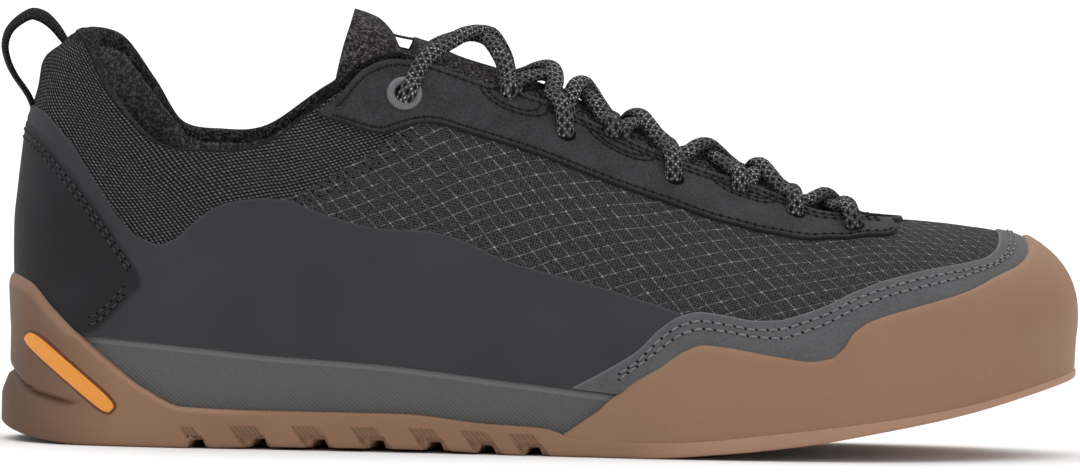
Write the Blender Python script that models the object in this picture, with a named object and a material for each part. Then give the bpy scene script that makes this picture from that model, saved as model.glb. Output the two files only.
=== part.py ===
"""Low hiking shoe with a climbing toe, for a right foot: solids of its upper, overlays, tongue and sole.

Frame: +X heel to toe, +Y to the medial (big toe) side, +Z up, floor at z = 0. The whole shoe is one
annular skin. A station runs round the shoe: 0 at the back of the heel, 1 at the tip of the toe by the
lateral side, and 2 at the heel again by the medial side. At each station the skin climbs from the
tread's edge (-1) by the feather line (0), where upper and sole meet, to the opening's edge (1).
Every piece is a layer of that skin, between two borders and two depths, so the pieces fit each other.
"""

import math

import bmesh
import bpy
import numpy as np

# Driving dimensions, in metres
SHOE_LENGTH = 0.300
BALL_WIDTH = 0.102
HEEL_WIDTH = 0.072
HEEL_HEIGHT = 0.113
DIP_HEIGHT = 0.082
INSTEP_HEIGHT = 0.110
TOE_HEIGHT = 0.0640
HEEL_STACK = 0.031
BALL_STACK = 0.017
TOE_LIFT = 0.0215

UPPER_WALL = 0.0020
COLLAR_PAD = 0.0085
LEDGE = 0.0014
FACING_THICK = 0.0012
GUARD_THICK = 0.0010
COUNTER_THICK = 0.0011
RAND_THICK = 0.0024
RUBBER_THICK = 0.0026
HEEL_LOBE = 0.0020
TREAD_BASE = 0.0045
TRAY_RIM = 0.0008
GROOVE_DEPTH = 0.0022
BALL_GROOVE_DEPTH = 0.0014
GROOVE_WIDTH = 0.0034
INSOLE_THICK = 0.0042
INSOLE_CUP = 0.0035
TONGUE_THICK = 0.0045
TONGUE_TOP = 0.0185
LOOP_WIDTH = 0.0095
LOOP_THICK = 0.0018
LACE_RADIUS = 0.0019
EYELET_BORE = 0.0052
RING_WIDTH = 0.0096
RING_THICK = 0.0010
GAP = 0.0003
OVERLAY_GAP = 0.0006

# Stations on each side, and how far apart two skins are compared for a slope
SIDE_STATIONS = 36
STATIONS = 2 * SIDE_STATIONS
SLOPE_STEP = 0.01
UPPER_ROWS = 8

# Facets round the lace
LACE_SIDES = 5

# Rise of the rolled top edge, as a share of the wall there
ROLL_RISE = 0.62

# Feather line: where upper and sole meet, seen from above and from the side.
# x share of SHOE_LENGTH | lateral, medial share of the width | how much of the ball's width | height
FEATHER_ROWS = (
    # x, lateral, medial, ball part, height over the floor
    (0.015, 0.000, 0.000, 0.00, 1.000 * HEEL_STACK),
    (0.031, -0.255, 0.250, 0.00, 1.000 * HEEL_STACK),
    (0.070, -0.415, 0.405, 0.00, 1.000 * HEEL_STACK),
    (0.127, -0.495, 0.480, 0.00, 0.965 * HEEL_STACK),
    (0.240, -0.470, 0.425, 0.30, 0.870 * HEEL_STACK),
    (0.367, -0.440, 0.355, 0.70, 0.790 * HEEL_STACK),
    (0.485, -0.445, 0.355, 1.00, 0.665 * HEEL_STACK),
    (0.627, -0.500, 0.450, 1.00, 1.000 * BALL_STACK),
    (0.700, -0.508, 0.485, 1.00, 1.050 * BALL_STACK),
    (0.773, -0.490, 0.492, 1.00, 0.94 * TOE_LIFT),
    (0.840, -0.438, 0.460, 1.00, 1.12 * TOE_LIFT),
    (0.900, -0.345, 0.412, 1.00, 1.30 * TOE_LIFT),
    (0.949, -0.212, 0.330, 1.00, 1.45 * TOE_LIFT),
    (0.980, -0.060, 0.225, 1.00, 1.54 * TOE_LIFT),
    (0.988, 0.098, 0.098, 1.00, 1.56 * TOE_LIFT),
)

# Opening: the seam line of the collar, then the edges and the front of the throat.
# station | lateral x, medial x, share of SHOE_LENGTH | lateral y, medial y, share of HEEL_WIDTH | height
OPENING_ROWS = (
    (0.000, 0.048, 0.048, 0.000, 0.000, 1.000 * HEEL_HEIGHT),
    (0.050, 0.056, 0.062, -0.150, 0.150, 0.996 * HEEL_HEIGHT),
    (0.100, 0.072, 0.090, -0.260, 0.255, 0.965 * HEEL_HEIGHT),
    (0.155, 0.096, 0.124, -0.345, 0.335, 0.855 * HEEL_HEIGHT),
    (0.210, 0.137, 0.160, -0.410, 0.400, 1.028 * DIP_HEIGHT),
    (0.262, 0.183, 0.200, -0.440, 0.430, 1.000 * DIP_HEIGHT),
    (0.315, 0.242, 0.248, -0.440, 0.430, 1.030 * DIP_HEIGHT),
    (0.367, 0.307, 0.307, -0.385, 0.380, 0.898 * INSTEP_HEIGHT),
    (0.420, 0.373, 0.373, -0.300, 0.300, 0.987 * INSTEP_HEIGHT),
    (0.473, 0.440, 0.440, -0.255, 0.255, 0.930 * INSTEP_HEIGHT),
    (0.532, 0.512, 0.512, -0.222, 0.222, 0.872 * INSTEP_HEIGHT),
    (0.597, 0.594, 0.594, -0.195, 0.195, 0.770 * INSTEP_HEIGHT),
    (0.661, 0.680, 0.680, -0.172, 0.180, 0.690 * INSTEP_HEIGHT),
    (0.726, 0.747, 0.747, -0.155, 0.172, 1.070 * TOE_HEIGHT),
    (0.786, 0.790, 0.790, -0.135, 0.160, 1.036 * TOE_HEIGHT),
    (0.844, 0.812, 0.812, -0.102, 0.142, 1.024 * TOE_HEIGHT),
    (0.902, 0.824, 0.824, -0.055, 0.115, 1.020 * TOE_HEIGHT),
    (0.954, 0.829, 0.829, -0.008, 0.075, 1.020 * TOE_HEIGHT),
    (1.000, 0.830, 0.830, 0.035, 0.035, 1.020 * TOE_HEIGHT),
)

# Section: how the skin leaves the feather line and how it reaches the opening.
# station | lean outward, degrees | low handle | fall from the opening, degrees | high handle,
# both handles as shares of the straight way between the two edges
SECTION_ROWS = (
    (0.00, 4, 0.36, 64, 0.34),
    (0.10, 4, 0.34, 70, 0.32),
    (0.20, 3, 0.32, 78, 0.30),
    (0.30, 3, 0.30, 72, 0.30),
    (0.37, 3, 0.30, 62, 0.32),
    (0.45, 4, 0.28, 52, 0.32),
    (0.55, 4, 0.28, 50, 0.32),
    (0.65, 6, 0.32, 42, 0.34),
    (0.75, 9, 0.38, 28, 0.42),
    (0.85, 10, 0.36, 12, 0.50),
    (1.00, 7, 0.34, 2, 0.63),
)

# Tread: the underside's height and the top of the gum rubber, along the shoe.
# x share of SHOE_LENGTH | height
UNDERSIDE_ROWS = (
    (0.000, 0.300 * HEEL_STACK),
    (0.010, 0.185 * HEEL_STACK),
    (0.020, 0.110 * HEEL_STACK),
    (0.037, 0.055 * HEEL_STACK),
    (0.057, 0.018 * HEEL_STACK),
    (0.080, 0.000),
    (0.167, 0.000),
    (0.267, 0.025 * HEEL_STACK),
    (0.390, 0.030 * HEEL_STACK),
    (0.493, 0.000),
    (0.593, 0.000),
    (0.670, 0.075 * TOE_LIFT),
    (0.743, 0.195 * TOE_LIFT),
    (0.817, 0.385 * TOE_LIFT),
    (0.890, 0.605 * TOE_LIFT),
    (0.965, 0.910 * TOE_LIFT),
    (1.010, 1.120 * TOE_LIFT),
)
RUBBER_ROWS = (
    (0.000, 1.500 * HEEL_STACK),
    (0.015, 1.500 * HEEL_STACK),
    (0.031, 1.440 * HEEL_STACK),
    (0.050, 1.230 * HEEL_STACK),
    (0.072, 1.010 * HEEL_STACK),
    (0.100, 0.770 * HEEL_STACK),
    (0.135, 0.520 * HEEL_STACK),
    (0.170, 0.370 * HEEL_STACK),
    (0.237, 0.350 * HEEL_STACK),
    (0.370, 0.348 * HEEL_STACK),
    (0.447, 0.280 * HEEL_STACK),
    (0.503, 0.250 * HEEL_STACK),
    (0.540, 0.290 * BALL_STACK),
    (0.600, 0.260 * BALL_STACK),
    (0.650, 0.300 * BALL_STACK),
    (0.707, 0.300 * TOE_LIFT),
    (0.800, 0.480 * TOE_LIFT),
    (0.890, 0.750 * TOE_LIFT),
    (0.965, 1.090 * TOE_LIFT),
    (1.010, 1.350 * TOE_LIFT),
)

# Borders of the overlays, as (station's share of the way to the toe, climb up the skin)
RAND_TOP_ROWS = (
    (0.500, -0.72),
    (0.530, -0.30),
    (0.550, -0.02),
    (0.590, 0.15),
    (0.625, 0.20),
    (0.690, 0.145),
    (0.718, 0.12),
    (0.750, 0.25),
    (0.790, 0.30),
    (0.840, 0.33),
    (0.900, 0.41),
    (0.950, 0.53),
    (1.000, 0.58),
)
GUARD_TOP_ROWS = (
    (0.500, 0.00),
    (0.548, 0.09),
    (0.590, 0.27),
    (0.620, 0.33),
    (0.680, 0.305),
    (0.715, 0.36),
    (0.760, 0.45),
    (0.790, 0.487),
    (0.870, 0.515),
    (0.910, 0.56),
    (0.950, 0.67),
    (1.000, 0.70),
)
FACING_LOW_ROWS = (
    (0.361, 0.91),
    (0.390, 0.80),
    (0.450, 0.775),
    (0.500, 0.735),
    (0.600, 0.73),
    (0.690, 0.71),
    (0.760, 0.75),
    (0.810, 0.77),
    (0.900, 0.88),
    (1.000, 0.93),
)
COUNTER_TOP_ROWS = (
    (0.000, 0.70),
    (0.048, 0.655),
    (0.095, 0.585),
    (0.143, 0.45),
    (0.165, 0.33),
)
COUNTER_LOW_ROWS = (
    (0.000, 0.012),
    (0.110, 0.015),
    (0.165, 0.22),
)

# Lace holes on each side from the top down, as (share, climb), and the lace's lift over the tongue between them
HOLE_ROWS = (
    (0.405, 0.880, 0.0060),
    (0.500, 0.945, 0.0058),
    (0.524, 0.835, 0.0050),
    (0.571, 0.945, 0.0044),
    (0.619, 0.880, 0.0042),
    (0.667, 0.945, 0.0042),
    (0.714, 0.895, 0.0042),
    (0.762, 0.825, 0.0042),
)

# Pull loop's webbing from its lower to its upper seam, in lengths of the straight way between them
# share of the way | straight way | distance outward
LOOP_ROWS = (
    (0.00, 0.00, 0.00),
    (0.07, 0.10, 0.07),
    (0.18, 0.27, 0.32),
    (0.27, 0.41, 0.48),
    (0.37, 0.59, 0.59),
    (0.46, 0.78, 0.63),
    (0.60, 1.06, 0.57),
    (0.70, 1.26, 0.45),
    (0.78, 1.32, 0.31),
    (0.88, 1.23, 0.13),
    (1.00, 1.00, 0.00),
)

# Tread grooves: across the whole tread under the heel and arch, and within its edge under the ball,
# as shares of SHOE_LENGTH
HEEL_GROOVES = (0.182, 0.240, 0.297, 0.352, 0.406, 0.455, 0.499)
BALL_GROOVES = (0.560, 0.610, 0.660, 0.710, 0.760)
GROOVE_BEND = 0.020

# Two long grooves that part the heel's and the arch's lugs, as shares of SHOE_LENGTH and BALL_WIDTH
LONG_GROOVE = ((0.060, 0.135), (0.190, 0.180), (0.300, 0.130), (0.420, 0.180), (0.530, 0.130))


def column(rows, index):
    """One column of a table."""
    return np.array([row[index] for row in rows], float)


def hermite(start, end, start_slope, end_slope, share):
    """Cubic between two values with a given slope at each, both slopes per whole stretch."""
    square, cube = share**2, share**3
    return (
        (2 * cube - 3 * square + 1) * start
        + (cube - 2 * square + share) * start_slope
        + (3 * square - 2 * cube) * end
        + (cube - square) * end_slope
    )


def along(rows, at, index=1):
    """Value of a table at a place along its first column: smooth, and never past its neighbouring rows."""
    knots, values = column(rows, 0), column(rows, index)
    width = np.diff(knots)
    slope = np.diff(values) / width
    same_way = slope[:-1] * slope[1:] > 0
    mean = 2 * slope[:-1] * slope[1:] / np.where(same_way, slope[:-1] + slope[1:], 1)
    tangent = np.concatenate([slope[:1], np.where(same_way, mean, 0), slope[-1:]])
    at = np.clip(at, knots[0], knots[-1])
    low = np.clip(np.searchsorted(knots, at, side="right") - 1, 0, len(width) - 1)
    share = (at - knots[low]) / width[low]
    slopes = tangent[low] * width[low], tangent[low + 1] * width[low]
    return hermite(values[low], values[low + 1], *slopes, share)


def around(knots, lateral, medial, station):
    """Smooth closed curve: through the lateral rows on the way out, and the medial rows on the way back."""
    knots = np.concatenate([knots, 2 - knots[-2:0:-1]])
    values = np.concatenate([lateral, medial[-2:0:-1]])
    ahead = np.append(knots[1:], 2) - knots
    behind = np.roll(ahead, 1)
    rise = (np.roll(values, -1) - values) / ahead
    tangent = (rise * behind + np.roll(rise, 1) * ahead) / (ahead + behind)
    low = np.searchsorted(knots, station, side="right") - 1
    high = (low + 1) % len(knots)
    share = (station - knots[low]) / ahead[low]
    return hermite(values[low], values[high], tangent[low] * ahead[low], tangent[high] * ahead[low], share)


def unit(vectors):
    """Vectors of length one."""
    return vectors / np.linalg.norm(vectors, axis=-1, keepdims=True)


def side_share(station):
    """A station's share of the way from heel to toe on its own side."""
    return np.where(station > 1, 2 - station, station)


STATION = np.arange(STATIONS) / SIDE_STATIONS
SHARE = side_share(STATION)


def feather_line():
    """The feather line's points, one for each station, evenly spaced along each side."""
    x = column(FEATHER_ROWS, 0) * SHOE_LENGTH
    width = HEEL_WIDTH + (BALL_WIDTH - HEEL_WIDTH) * column(FEATHER_ROWS, 3)
    lateral, medial = column(FEATHER_ROWS, 1) * width, column(FEATHER_ROWS, 2) * width
    height = column(FEATHER_ROWS, 4)
    knots = np.append(0, np.cumsum(np.hypot(np.diff(x), np.diff(lateral))))
    knots = knots / knots[-1]
    return np.stack(
        [
            around(knots, x, x, STATION),
            around(knots, lateral, medial, STATION),
            around(knots, height, height, STATION),
        ],
        axis=-1,
    )


def opening_line():
    """The opening's edge, one point for each station."""
    knots = column(OPENING_ROWS, 0)
    sides = [column(OPENING_ROWS, index) for index in range(1, 6)]
    return np.stack(
        [
            around(knots, sides[0] * SHOE_LENGTH, sides[1] * SHOE_LENGTH, STATION),
            around(knots, sides[2] * HEEL_WIDTH, sides[3] * HEEL_WIDTH, STATION),
            around(knots, sides[4], sides[4], STATION),
        ],
        axis=-1,
    )


def underside(x):
    """Height of the tread's underside, along the shoe."""
    return along(UNDERSIDE_ROWS, x / SHOE_LENGTH)


FEATHER = feather_line()
OPENING = opening_line()


def plan_outward():
    """Level direction straight out of the feather line at each station."""
    run = np.roll(FEATHER, -1, axis=0) - np.roll(FEATHER, 1, axis=0)
    return unit(np.stack([run[:, 1], -run[:, 0], 0 * run[:, 0]], axis=-1))


OUTWARD = plan_outward()
UP = np.array([0.0, 0.0, 1.0])


def skin_corners():
    """The four points of each station's section curve above the feather line, and the tread's edge below."""
    lean, low, fall, high = (along(SECTION_ROWS, SHARE, index)[:, None] for index in range(1, 5))
    lean, fall = np.radians(lean), np.radians(fall)
    reach = np.linalg.norm(OPENING - FEATHER, axis=1, keepdims=True)
    outward = unit((FEATHER - OPENING) * (1, 1, 0))
    rising = FEATHER + low * reach * (np.sin(lean) * OUTWARD + np.cos(lean) * UP)
    arriving = OPENING + high * reach * (np.cos(fall) * outward - np.sin(fall) * UP)
    edge = FEATHER.copy()
    edge[:, 2] = underside(edge[:, 0])
    return FEATHER, rising, arriving, OPENING, edge


CORNERS = skin_corners()


def bare_skin(corners, climb):
    """Points of the skin: a cubic above the feather line, and a straight side below it."""
    feather, rising, arriving, opening, edge = (corner[:, None, :] for corner in corners)
    share = np.clip(climb, 0, 1)[..., None]
    rest = 1 - share
    down = np.clip(-climb, 0, 1.2)[..., None]
    above = rest**3 * feather + 3 * rest**2 * share * rising + 3 * rest * share**2 * arriving
    return above + share**3 * opening + down * (edge - feather)


def skin(climb, depth=0.0):
    """Points at a climb on each station, one row of climbs each, and a depth outward from the skin."""
    climb = np.asarray(climb, float)
    back, ahead = ([np.roll(c, shift, axis=0) for c in CORNERS] for shift in (1, -1))
    run = bare_skin(ahead, climb) - bare_skin(back, climb)
    rise = bare_skin(CORNERS, climb + SLOPE_STEP) - bare_skin(CORNERS, climb - SLOPE_STEP)
    normal = unit(np.cross(run, rise))
    return bare_skin(CORNERS, climb) + normal * np.asarray(depth, float)[..., None]


def climb_at(height):
    """The climb at which each station's skin is at a height."""
    steps = np.linspace(-1.2, 0.6, 181)
    heights = bare_skin(CORNERS, np.tile(steps, (STATIONS, 1)))[..., 2]
    return np.array([np.interp(z, row, steps) for z, row in zip(height, heights)])


def between(low, high, rows):
    """Climbs from one border to another, a row of them for each station."""
    return low[:, None] + (high - low)[:, None] * np.linspace(0, 1, rows)


def collar_share():
    """How much of the collar's padding each station has: all of it round the heel, none along the laces."""
    rows = ((0.0, 1.0), (0.25, 0.95), (0.32, 0.72), (0.38, 0.22), (0.42, 0.0), (1.0, 0.0))
    return along(rows, SHARE)


def wall_at(climb):
    """Thickness of the upper's wall: plain below, swelling into the padded collar."""
    pad = collar_share()[:, None] * np.clip((climb - 0.30) / 0.60, 0, 1) ** 1.3
    return UPPER_WALL + (COLLAR_PAD - UPPER_WALL) * pad


def add_object(name, points, faces, colour, roughness):
    """A named object from a list of points and faces, with its own material."""
    mesh = bpy.data.meshes.new(name)
    mesh.from_pydata(np.reshape(points, (-1, 3)).tolist(), [], [tuple(map(int, face)) for face in faces])
    obj = bpy.data.objects.new(name, mesh)
    bpy.context.scene.collection.objects.link(obj)
    shell = bmesh.new()
    shell.from_mesh(mesh)
    bmesh.ops.recalc_face_normals(shell, faces=shell.faces)
    shell.to_mesh(mesh)
    shell.free()
    material = bpy.data.materials.new(name)
    material.use_nodes = True
    shader = material.node_tree.nodes["Principled BSDF"]
    shader.inputs["Base Color"].default_value = (*colour, 1)
    shader.inputs["Roughness"].default_value = roughness
    mesh.materials.append(material)
    mesh.shade_smooth()
    mesh.set_sharp_from_angle(angle=math.radians(35))
    return obj


def grid_faces(runs, rows, first=0, closed=False):
    """Triangles of a grid of points numbered row by row within each run, all cut along the same diagonal."""
    run = np.arange(runs if closed else runs - 1)[:, None]
    row = np.arange(rows - 1)[None, :]
    here, there = first + run * rows + row, first + (run + 1) % runs * rows + row
    halves = [here, there, there + 1], [here, there + 1, here + 1]
    return np.concatenate([np.stack(half, axis=-1).reshape(-1, 3) for half in halves])


def layer(outer, inner, closed):
    """Points and faces of a closed solid between two grids of the same size."""
    runs, rows = outer.shape[:2]
    size = runs * rows
    faces = [grid_faces(runs, rows, 0, closed), grid_faces(runs, rows, size, closed)]
    run = np.arange(runs if closed else runs - 1)
    after = (run + 1) % runs
    for row in (0, rows - 1):
        a, b = run * rows + row, after * rows + row
        faces.append(np.stack([a, b, b + size, a + size], axis=-1))
    if not closed:
        for end in (0, runs - 1):
            a = end * rows + np.arange(rows - 1)
            faces.append(np.stack([a, a + 1, a + 1 + size, a + size], axis=-1))
    faces = [tuple(face) for group in faces for face in group]
    return np.concatenate([outer.reshape(-1, 3), inner.reshape(-1, 3)]), faces


def stacked(rings):
    """Points and faces of a closed solid from rings of stations, its first and last ring spanned across."""
    count = len(rings)
    points = np.stack(rings, axis=1).reshape(-1, 3)
    faces = [tuple(face) for face in grid_faces(STATIONS, count, 0, True)]
    for row in (0, count - 1):
        ring = np.arange(STATIONS) * count + row
        for step in range(SIDE_STATIONS):
            quad = [ring[step], ring[step + 1], ring[-step - 1], ring[-step]]
            faces.append(tuple(dict.fromkeys(quad)))
    return points, faces


def overlay(low, high, rows, inner_depth, outer_depth, members, closed=False):
    """Points and faces of a layer of the skin on some of the stations, between two borders."""
    climbs = between(low, high, rows)
    outer = skin(climbs, outer_depth + 0 * climbs)[members]
    inner = skin(climbs, inner_depth + 0 * climbs)[members]
    return layer(outer, inner, closed)


def toe_members(first_share):
    """Stations from one side round the toe to the other, starting at a share of the way from the heel."""
    first = round(first_share * SIDE_STATIONS)
    return np.arange(first, STATIONS - first + 1)


def heel_members(last_share):
    """Stations from the lateral side round the heel to the medial side."""
    last = round(last_share * SIDE_STATIONS)
    return np.arange(-last, last + 1) % STATIONS


def at_height(points, height):
    """The same points, moved straight up or down to a height."""
    moved = points.copy()
    moved[..., 2] = height
    return moved


def rubber_height(x):
    """Height of the top of the gum rubber, along the shoe."""
    return along(RUBBER_ROWS, x / SHOE_LENGTH)


def rubber_top(clearance=0.0):
    """Climb of the top of the gum rubber, a clip round the heel and a low rim elsewhere, or of a height above it."""
    return climb_at(rubber_height(FEATHER[:, 0]) + clearance)


def tray_height(x):
    """Height of the rubber tray's floor, where the midsole lies: always a little under the tray's rim."""
    return np.minimum(underside(x) + TREAD_BASE, rubber_height(x) - TRAY_RIM)


def join(target, cutter, operation):
    """Applies a Boolean to an object and removes the tool."""
    modifier = target.modifiers.new(operation, "BOOLEAN")
    modifier.operation = operation
    modifier.object = cutter
    bpy.context.view_layer.update()
    result = bpy.data.meshes.new_from_object(target.evaluated_get(bpy.context.evaluated_depsgraph_get()))
    target.modifiers.clear()
    target.data = result
    bpy.data.objects.remove(cutter)


def make_upper():
    """One hollow wall from the feather line to the opening, its top rolled over where it is padded."""
    climbs = np.tile(np.linspace(0, 1, UPPER_ROWS), (STATIONS, 1))
    wall = wall_at(climbs)
    ledge_share = along(((0, 1), (0.48, 1), (0.60, 0), (1, 0)), SHARE)[:, None]
    ledge = LEDGE * ledge_share * np.clip(1 - climbs / 0.12, 0, 1)
    outer, inner = skin(climbs, -ledge), skin(climbs, -ledge - wall)
    outer[:, 0, 2] = inner[:, 0, 2] = FEATHER[:, 2]
    crest_rows = []
    across = inner[:, -1] - outer[:, -1]
    climb_way = unit(outer[:, -1] - outer[:, -2])
    for turn in (45, 90, 135):
        angle = math.radians(turn)
        swing = (1 - math.cos(angle)) / 2
        lift = ROLL_RISE * np.linalg.norm(across, axis=1, keepdims=True) * math.sin(angle)
        crest_rows.append(outer[:, -1] + swing * across + lift * climb_way)
    outer = np.concatenate([outer, crest_rows[0][:, None], crest_rows[1][:, None]], axis=1)
    inner = np.concatenate([inner, crest_rows[2][:, None]], axis=1)
    loop = np.concatenate([outer, inner[:, ::-1]], axis=1)
    rows = loop.shape[1]
    faces = grid_faces(STATIONS, rows, 0, True)
    run = np.arange(STATIONS)
    after = (run + 1) % STATIONS
    first, last = run * rows, run * rows + rows - 1
    seam = np.stack([first, after * rows, after * rows + rows - 1, last], axis=-1)
    upper = add_object("upper", loop, [*faces, *seam], (0.03, 0.03, 0.032), 0.85)
    join(upper, hole_cutter(), "DIFFERENCE")
    return upper


def make_midsole():
    """Foam wedge from the rubber tray to the feather line."""
    top = FEATHER.copy()
    top[:, 2] -= GAP
    floor_height = tray_height(FEATHER[:, 0]) + GAP
    low = skin(climb_at(floor_height)[:, None], 0 * SHARE[:, None])[:, 0]
    middle = 0.5 * (top + low)
    low = at_height(low, tray_height(low[:, 0]) + GAP)
    points, faces = stacked([top, middle, low])
    return add_object("midsole", points, faces, (0.09, 0.09, 0.092), 0.7)


def make_outsole():
    """Gum rubber tray with a clip round the heel, a proud heel lobe and a grooved tread."""
    lobe = along(((0, 1), (0.05, 1), (0.16, 0), (1, 0)), SHARE)
    rim = rubber_top()
    floor_climb = climb_at(tray_height(FEATHER[:, 0]))
    groove_top, groove_low = (
        np.minimum(floor_climb + (rim - floor_climb) * share, rim) for share in (0.42, 0.30)
    )
    side = [
        (rim, GAP + 0 * lobe),
        (rim, RUBBER_THICK + 0 * lobe),
        (groove_top, RUBBER_THICK + 0 * lobe),
        (groove_low, RUBBER_THICK + HEEL_LOBE * lobe),
        (-1 + 0 * lobe, RUBBER_THICK + HEEL_LOBE * lobe),
    ]
    rings = [skin(climb[:, None], depth[:, None])[:, 0] for climb, depth in side]
    floor = skin(floor_climb[:, None], GAP + 0 * lobe[:, None])[:, 0]
    rings.insert(0, at_height(floor, tray_height(floor[:, 0])))
    rings[-1] = at_height(rings[-1], underside(rings[-1][:, 0]))
    points, faces = stacked(rings)
    outsole = add_object("outsole", points, faces, (0.29, 0.17, 0.11), 0.6)
    for x in HEEL_GROOVES:
        line = [(x, -0.62), (x + GROOVE_BEND, -0.16), (x, 0.0), (x + GROOVE_BEND, 0.16), (x, 0.62)]
        join(outsole, groove(line, GROOVE_DEPTH), "DIFFERENCE")
    for side in (1, -1):
        join(outsole, groove([(x, side * y) for x, y in LONG_GROOVE], BALL_GROOVE_DEPTH), "DIFFERENCE")
    for x in BALL_GROOVES:
        line = [(x, -0.34), (x + GROOVE_BEND, -0.10), (x, 0.04), (x + GROOVE_BEND, 0.18), (x, 0.36)]
        join(outsole, groove(line, BALL_GROOVE_DEPTH), "DIFFERENCE")
    return outsole


def groove(points, depth):
    """A tread groove along a line seen from below, as a helper: it cuts to its depth above the underside."""
    points = np.array(points, float) * (SHOE_LENGTH, BALL_WIDTH)
    run = unit(np.gradient(points, axis=0))
    side = GROOVE_WIDTH / 2 * np.stack([-run[:, 1], run[:, 0]], axis=-1)
    left, right = points + side, points - side
    rings = []
    for edge, top in ((left, False), (left, True), (right, True), (right, False)):
        height = underside(edge[:, 0]) + depth if top else 0 * edge[:, 0] - depth
        rings.append(np.column_stack([edge, height]))
    rings = np.stack(rings, axis=1)
    cutter = add_object("groove_cutter", rings, ring_faces(len(points), 4, False), (1, 0, 0), 1)
    cutter.hide_render = True
    return cutter


def make_insole():
    """Footbed inside the upper, cupped a little at its edge."""
    inset = -(LEDGE + UPPER_WALL + 2 * GAP)
    edge = skin(np.zeros((STATIONS, 1)), np.full((STATIONS, 1), inset))[:, 0]
    inner = skin(np.zeros((STATIONS, 1)), np.full((STATIONS, 1), inset - 0.009))[:, 0]
    base = FEATHER[:, 2] + GAP
    rings = [
        at_height(inner, base + INSOLE_THICK),
        at_height(edge, base + INSOLE_THICK + INSOLE_CUP),
        at_height(edge, base),
    ]
    points, faces = stacked(rings)
    return add_object("insole", points, faces, (0.05, 0.05, 0.05), 0.9)


def make_rand():
    """Rubber wrap round the forefoot and over the toe, with a row of points along the feather line."""
    members = toe_members(0.50)
    low = rubber_top(3 * GAP)
    high = np.maximum(along(RAND_TOP_ROWS, SHARE), low + 0.15)
    middle = np.minimum(0, 0.5 * (low + high))
    climbs = np.concatenate([low[:, None], between(middle, high, 7)], axis=1)
    outer, inner = (skin(climbs, depth + 0 * climbs)[members] for depth in (OVERLAY_GAP + RAND_THICK, OVERLAY_GAP))
    points, faces = layer(outer, inner, False)
    return add_object("toe_rand", points, faces, (0.29, 0.17, 0.11), 0.6)


def make_guard():
    """Overlay above the rand."""
    members = toe_members(0.51)
    low = np.maximum(along(RAND_TOP_ROWS, SHARE), 0) + 0.015
    high = np.maximum(along(GUARD_TOP_ROWS, SHARE), low + 0.04)
    points, faces = overlay(low, high, 4, OVERLAY_GAP, OVERLAY_GAP + GUARD_THICK, members)
    return add_object("mudguard", points, faces, (0.11, 0.115, 0.12), 0.75)


def make_facing():
    """Lace facing on both sides, joined round the front of the throat, with its lace holes."""
    members = toe_members(0.361)
    low = along(FACING_LOW_ROWS, SHARE)
    points, faces = overlay(low, 0 * low + 1, 4, OVERLAY_GAP, OVERLAY_GAP + FACING_THICK, members)
    facing = add_object("eyestay", points, faces, (0.035, 0.035, 0.036), 0.8)
    join(facing, hole_cutter(), "DIFFERENCE")
    return facing


def make_counter():
    """Outside counter round the heel, above the rubber clip."""
    members = heel_members(0.165)
    low = np.maximum(rubber_top() + 0.015, along(COUNTER_LOW_ROWS, SHARE))
    high = np.maximum(along(COUNTER_TOP_ROWS, SHARE), low + 0.05)
    points, faces = overlay(low, high, 6, OVERLAY_GAP, OVERLAY_GAP + COUNTER_THICK, members)
    return add_object("heel_counter", points, faces, (0.03, 0.03, 0.031), 0.6)


def station_points(station, climb, depth):
    """Points of the skin at any stations, straight between the two stations beside each."""
    station = np.atleast_1d(station) % 2 * SIDE_STATIONS
    low = np.floor(station).astype(int)
    share = (station - low)[:, None]
    grid = skin(np.full((STATIONS, 1), climb), np.full((STATIONS, 1), depth))[:, 0]
    return (1 - share) * grid[low % STATIONS] + share * grid[(low + 1) % STATIONS]


def hole_frame(share, climb, side, depth):
    """Centre and outward direction of a lace hole; side is 1 for lateral and -1 for medial."""
    station = side * share
    centre = station_points(station, climb, depth)[0]
    outward = unit(centre - station_points(station, climb, depth - UPPER_WALL)[0])
    return centre, outward


def ring_faces(count, sides, closed):
    """Faces of a tube of points numbered ring by ring, with flat ends where it isn't closed."""
    ring = np.arange(count if closed else count - 1)[:, None]
    side = np.arange(sides)[None, :]
    here, there = ring * sides, (ring + 1) % count * sides
    step = (side + 1) % sides
    quads = np.stack([here + side, here + step, there + step, there + side], axis=-1)
    faces = [tuple(face) for face in quads.reshape(-1, 4)]
    if not closed:
        faces += [tuple(range(sides)), tuple(range((count - 1) * sides, count * sides))]
    return faces


def across(direction):
    """Two directions square to one another and to the given one."""
    first = unit(np.cross(direction, (0.9, 0.1, 0.42)))
    return first, np.cross(direction, first)


def hole_cutter():
    """Round bores through the lace facing and the wall under it, as one helper."""
    sides, reach = 6, COLLAR_PAD
    turn = 2 * math.pi * np.arange(sides) / sides
    points, faces = [], []
    for share, climb, _ in HOLE_ROWS:
        for side in (1, -1):
            centre, outward = hole_frame(share, climb, side, 0.0)
            first, second = across(outward)
            rim = EYELET_BORE / 2 * (np.outer(np.cos(turn), first) + np.outer(np.sin(turn), second))
            start = len(points) * 2 * sides
            points.append([centre + rim - reach * outward, centre + rim + reach * outward])
            faces += [tuple(start + index for index in face) for face in ring_faces(2, sides, False)]
    cutter = add_object("hole_cutter", np.array(points), faces, (1, 0, 0), 1)
    cutter.hide_render = True
    cutter.display_type = "WIRE"
    return cutter


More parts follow.
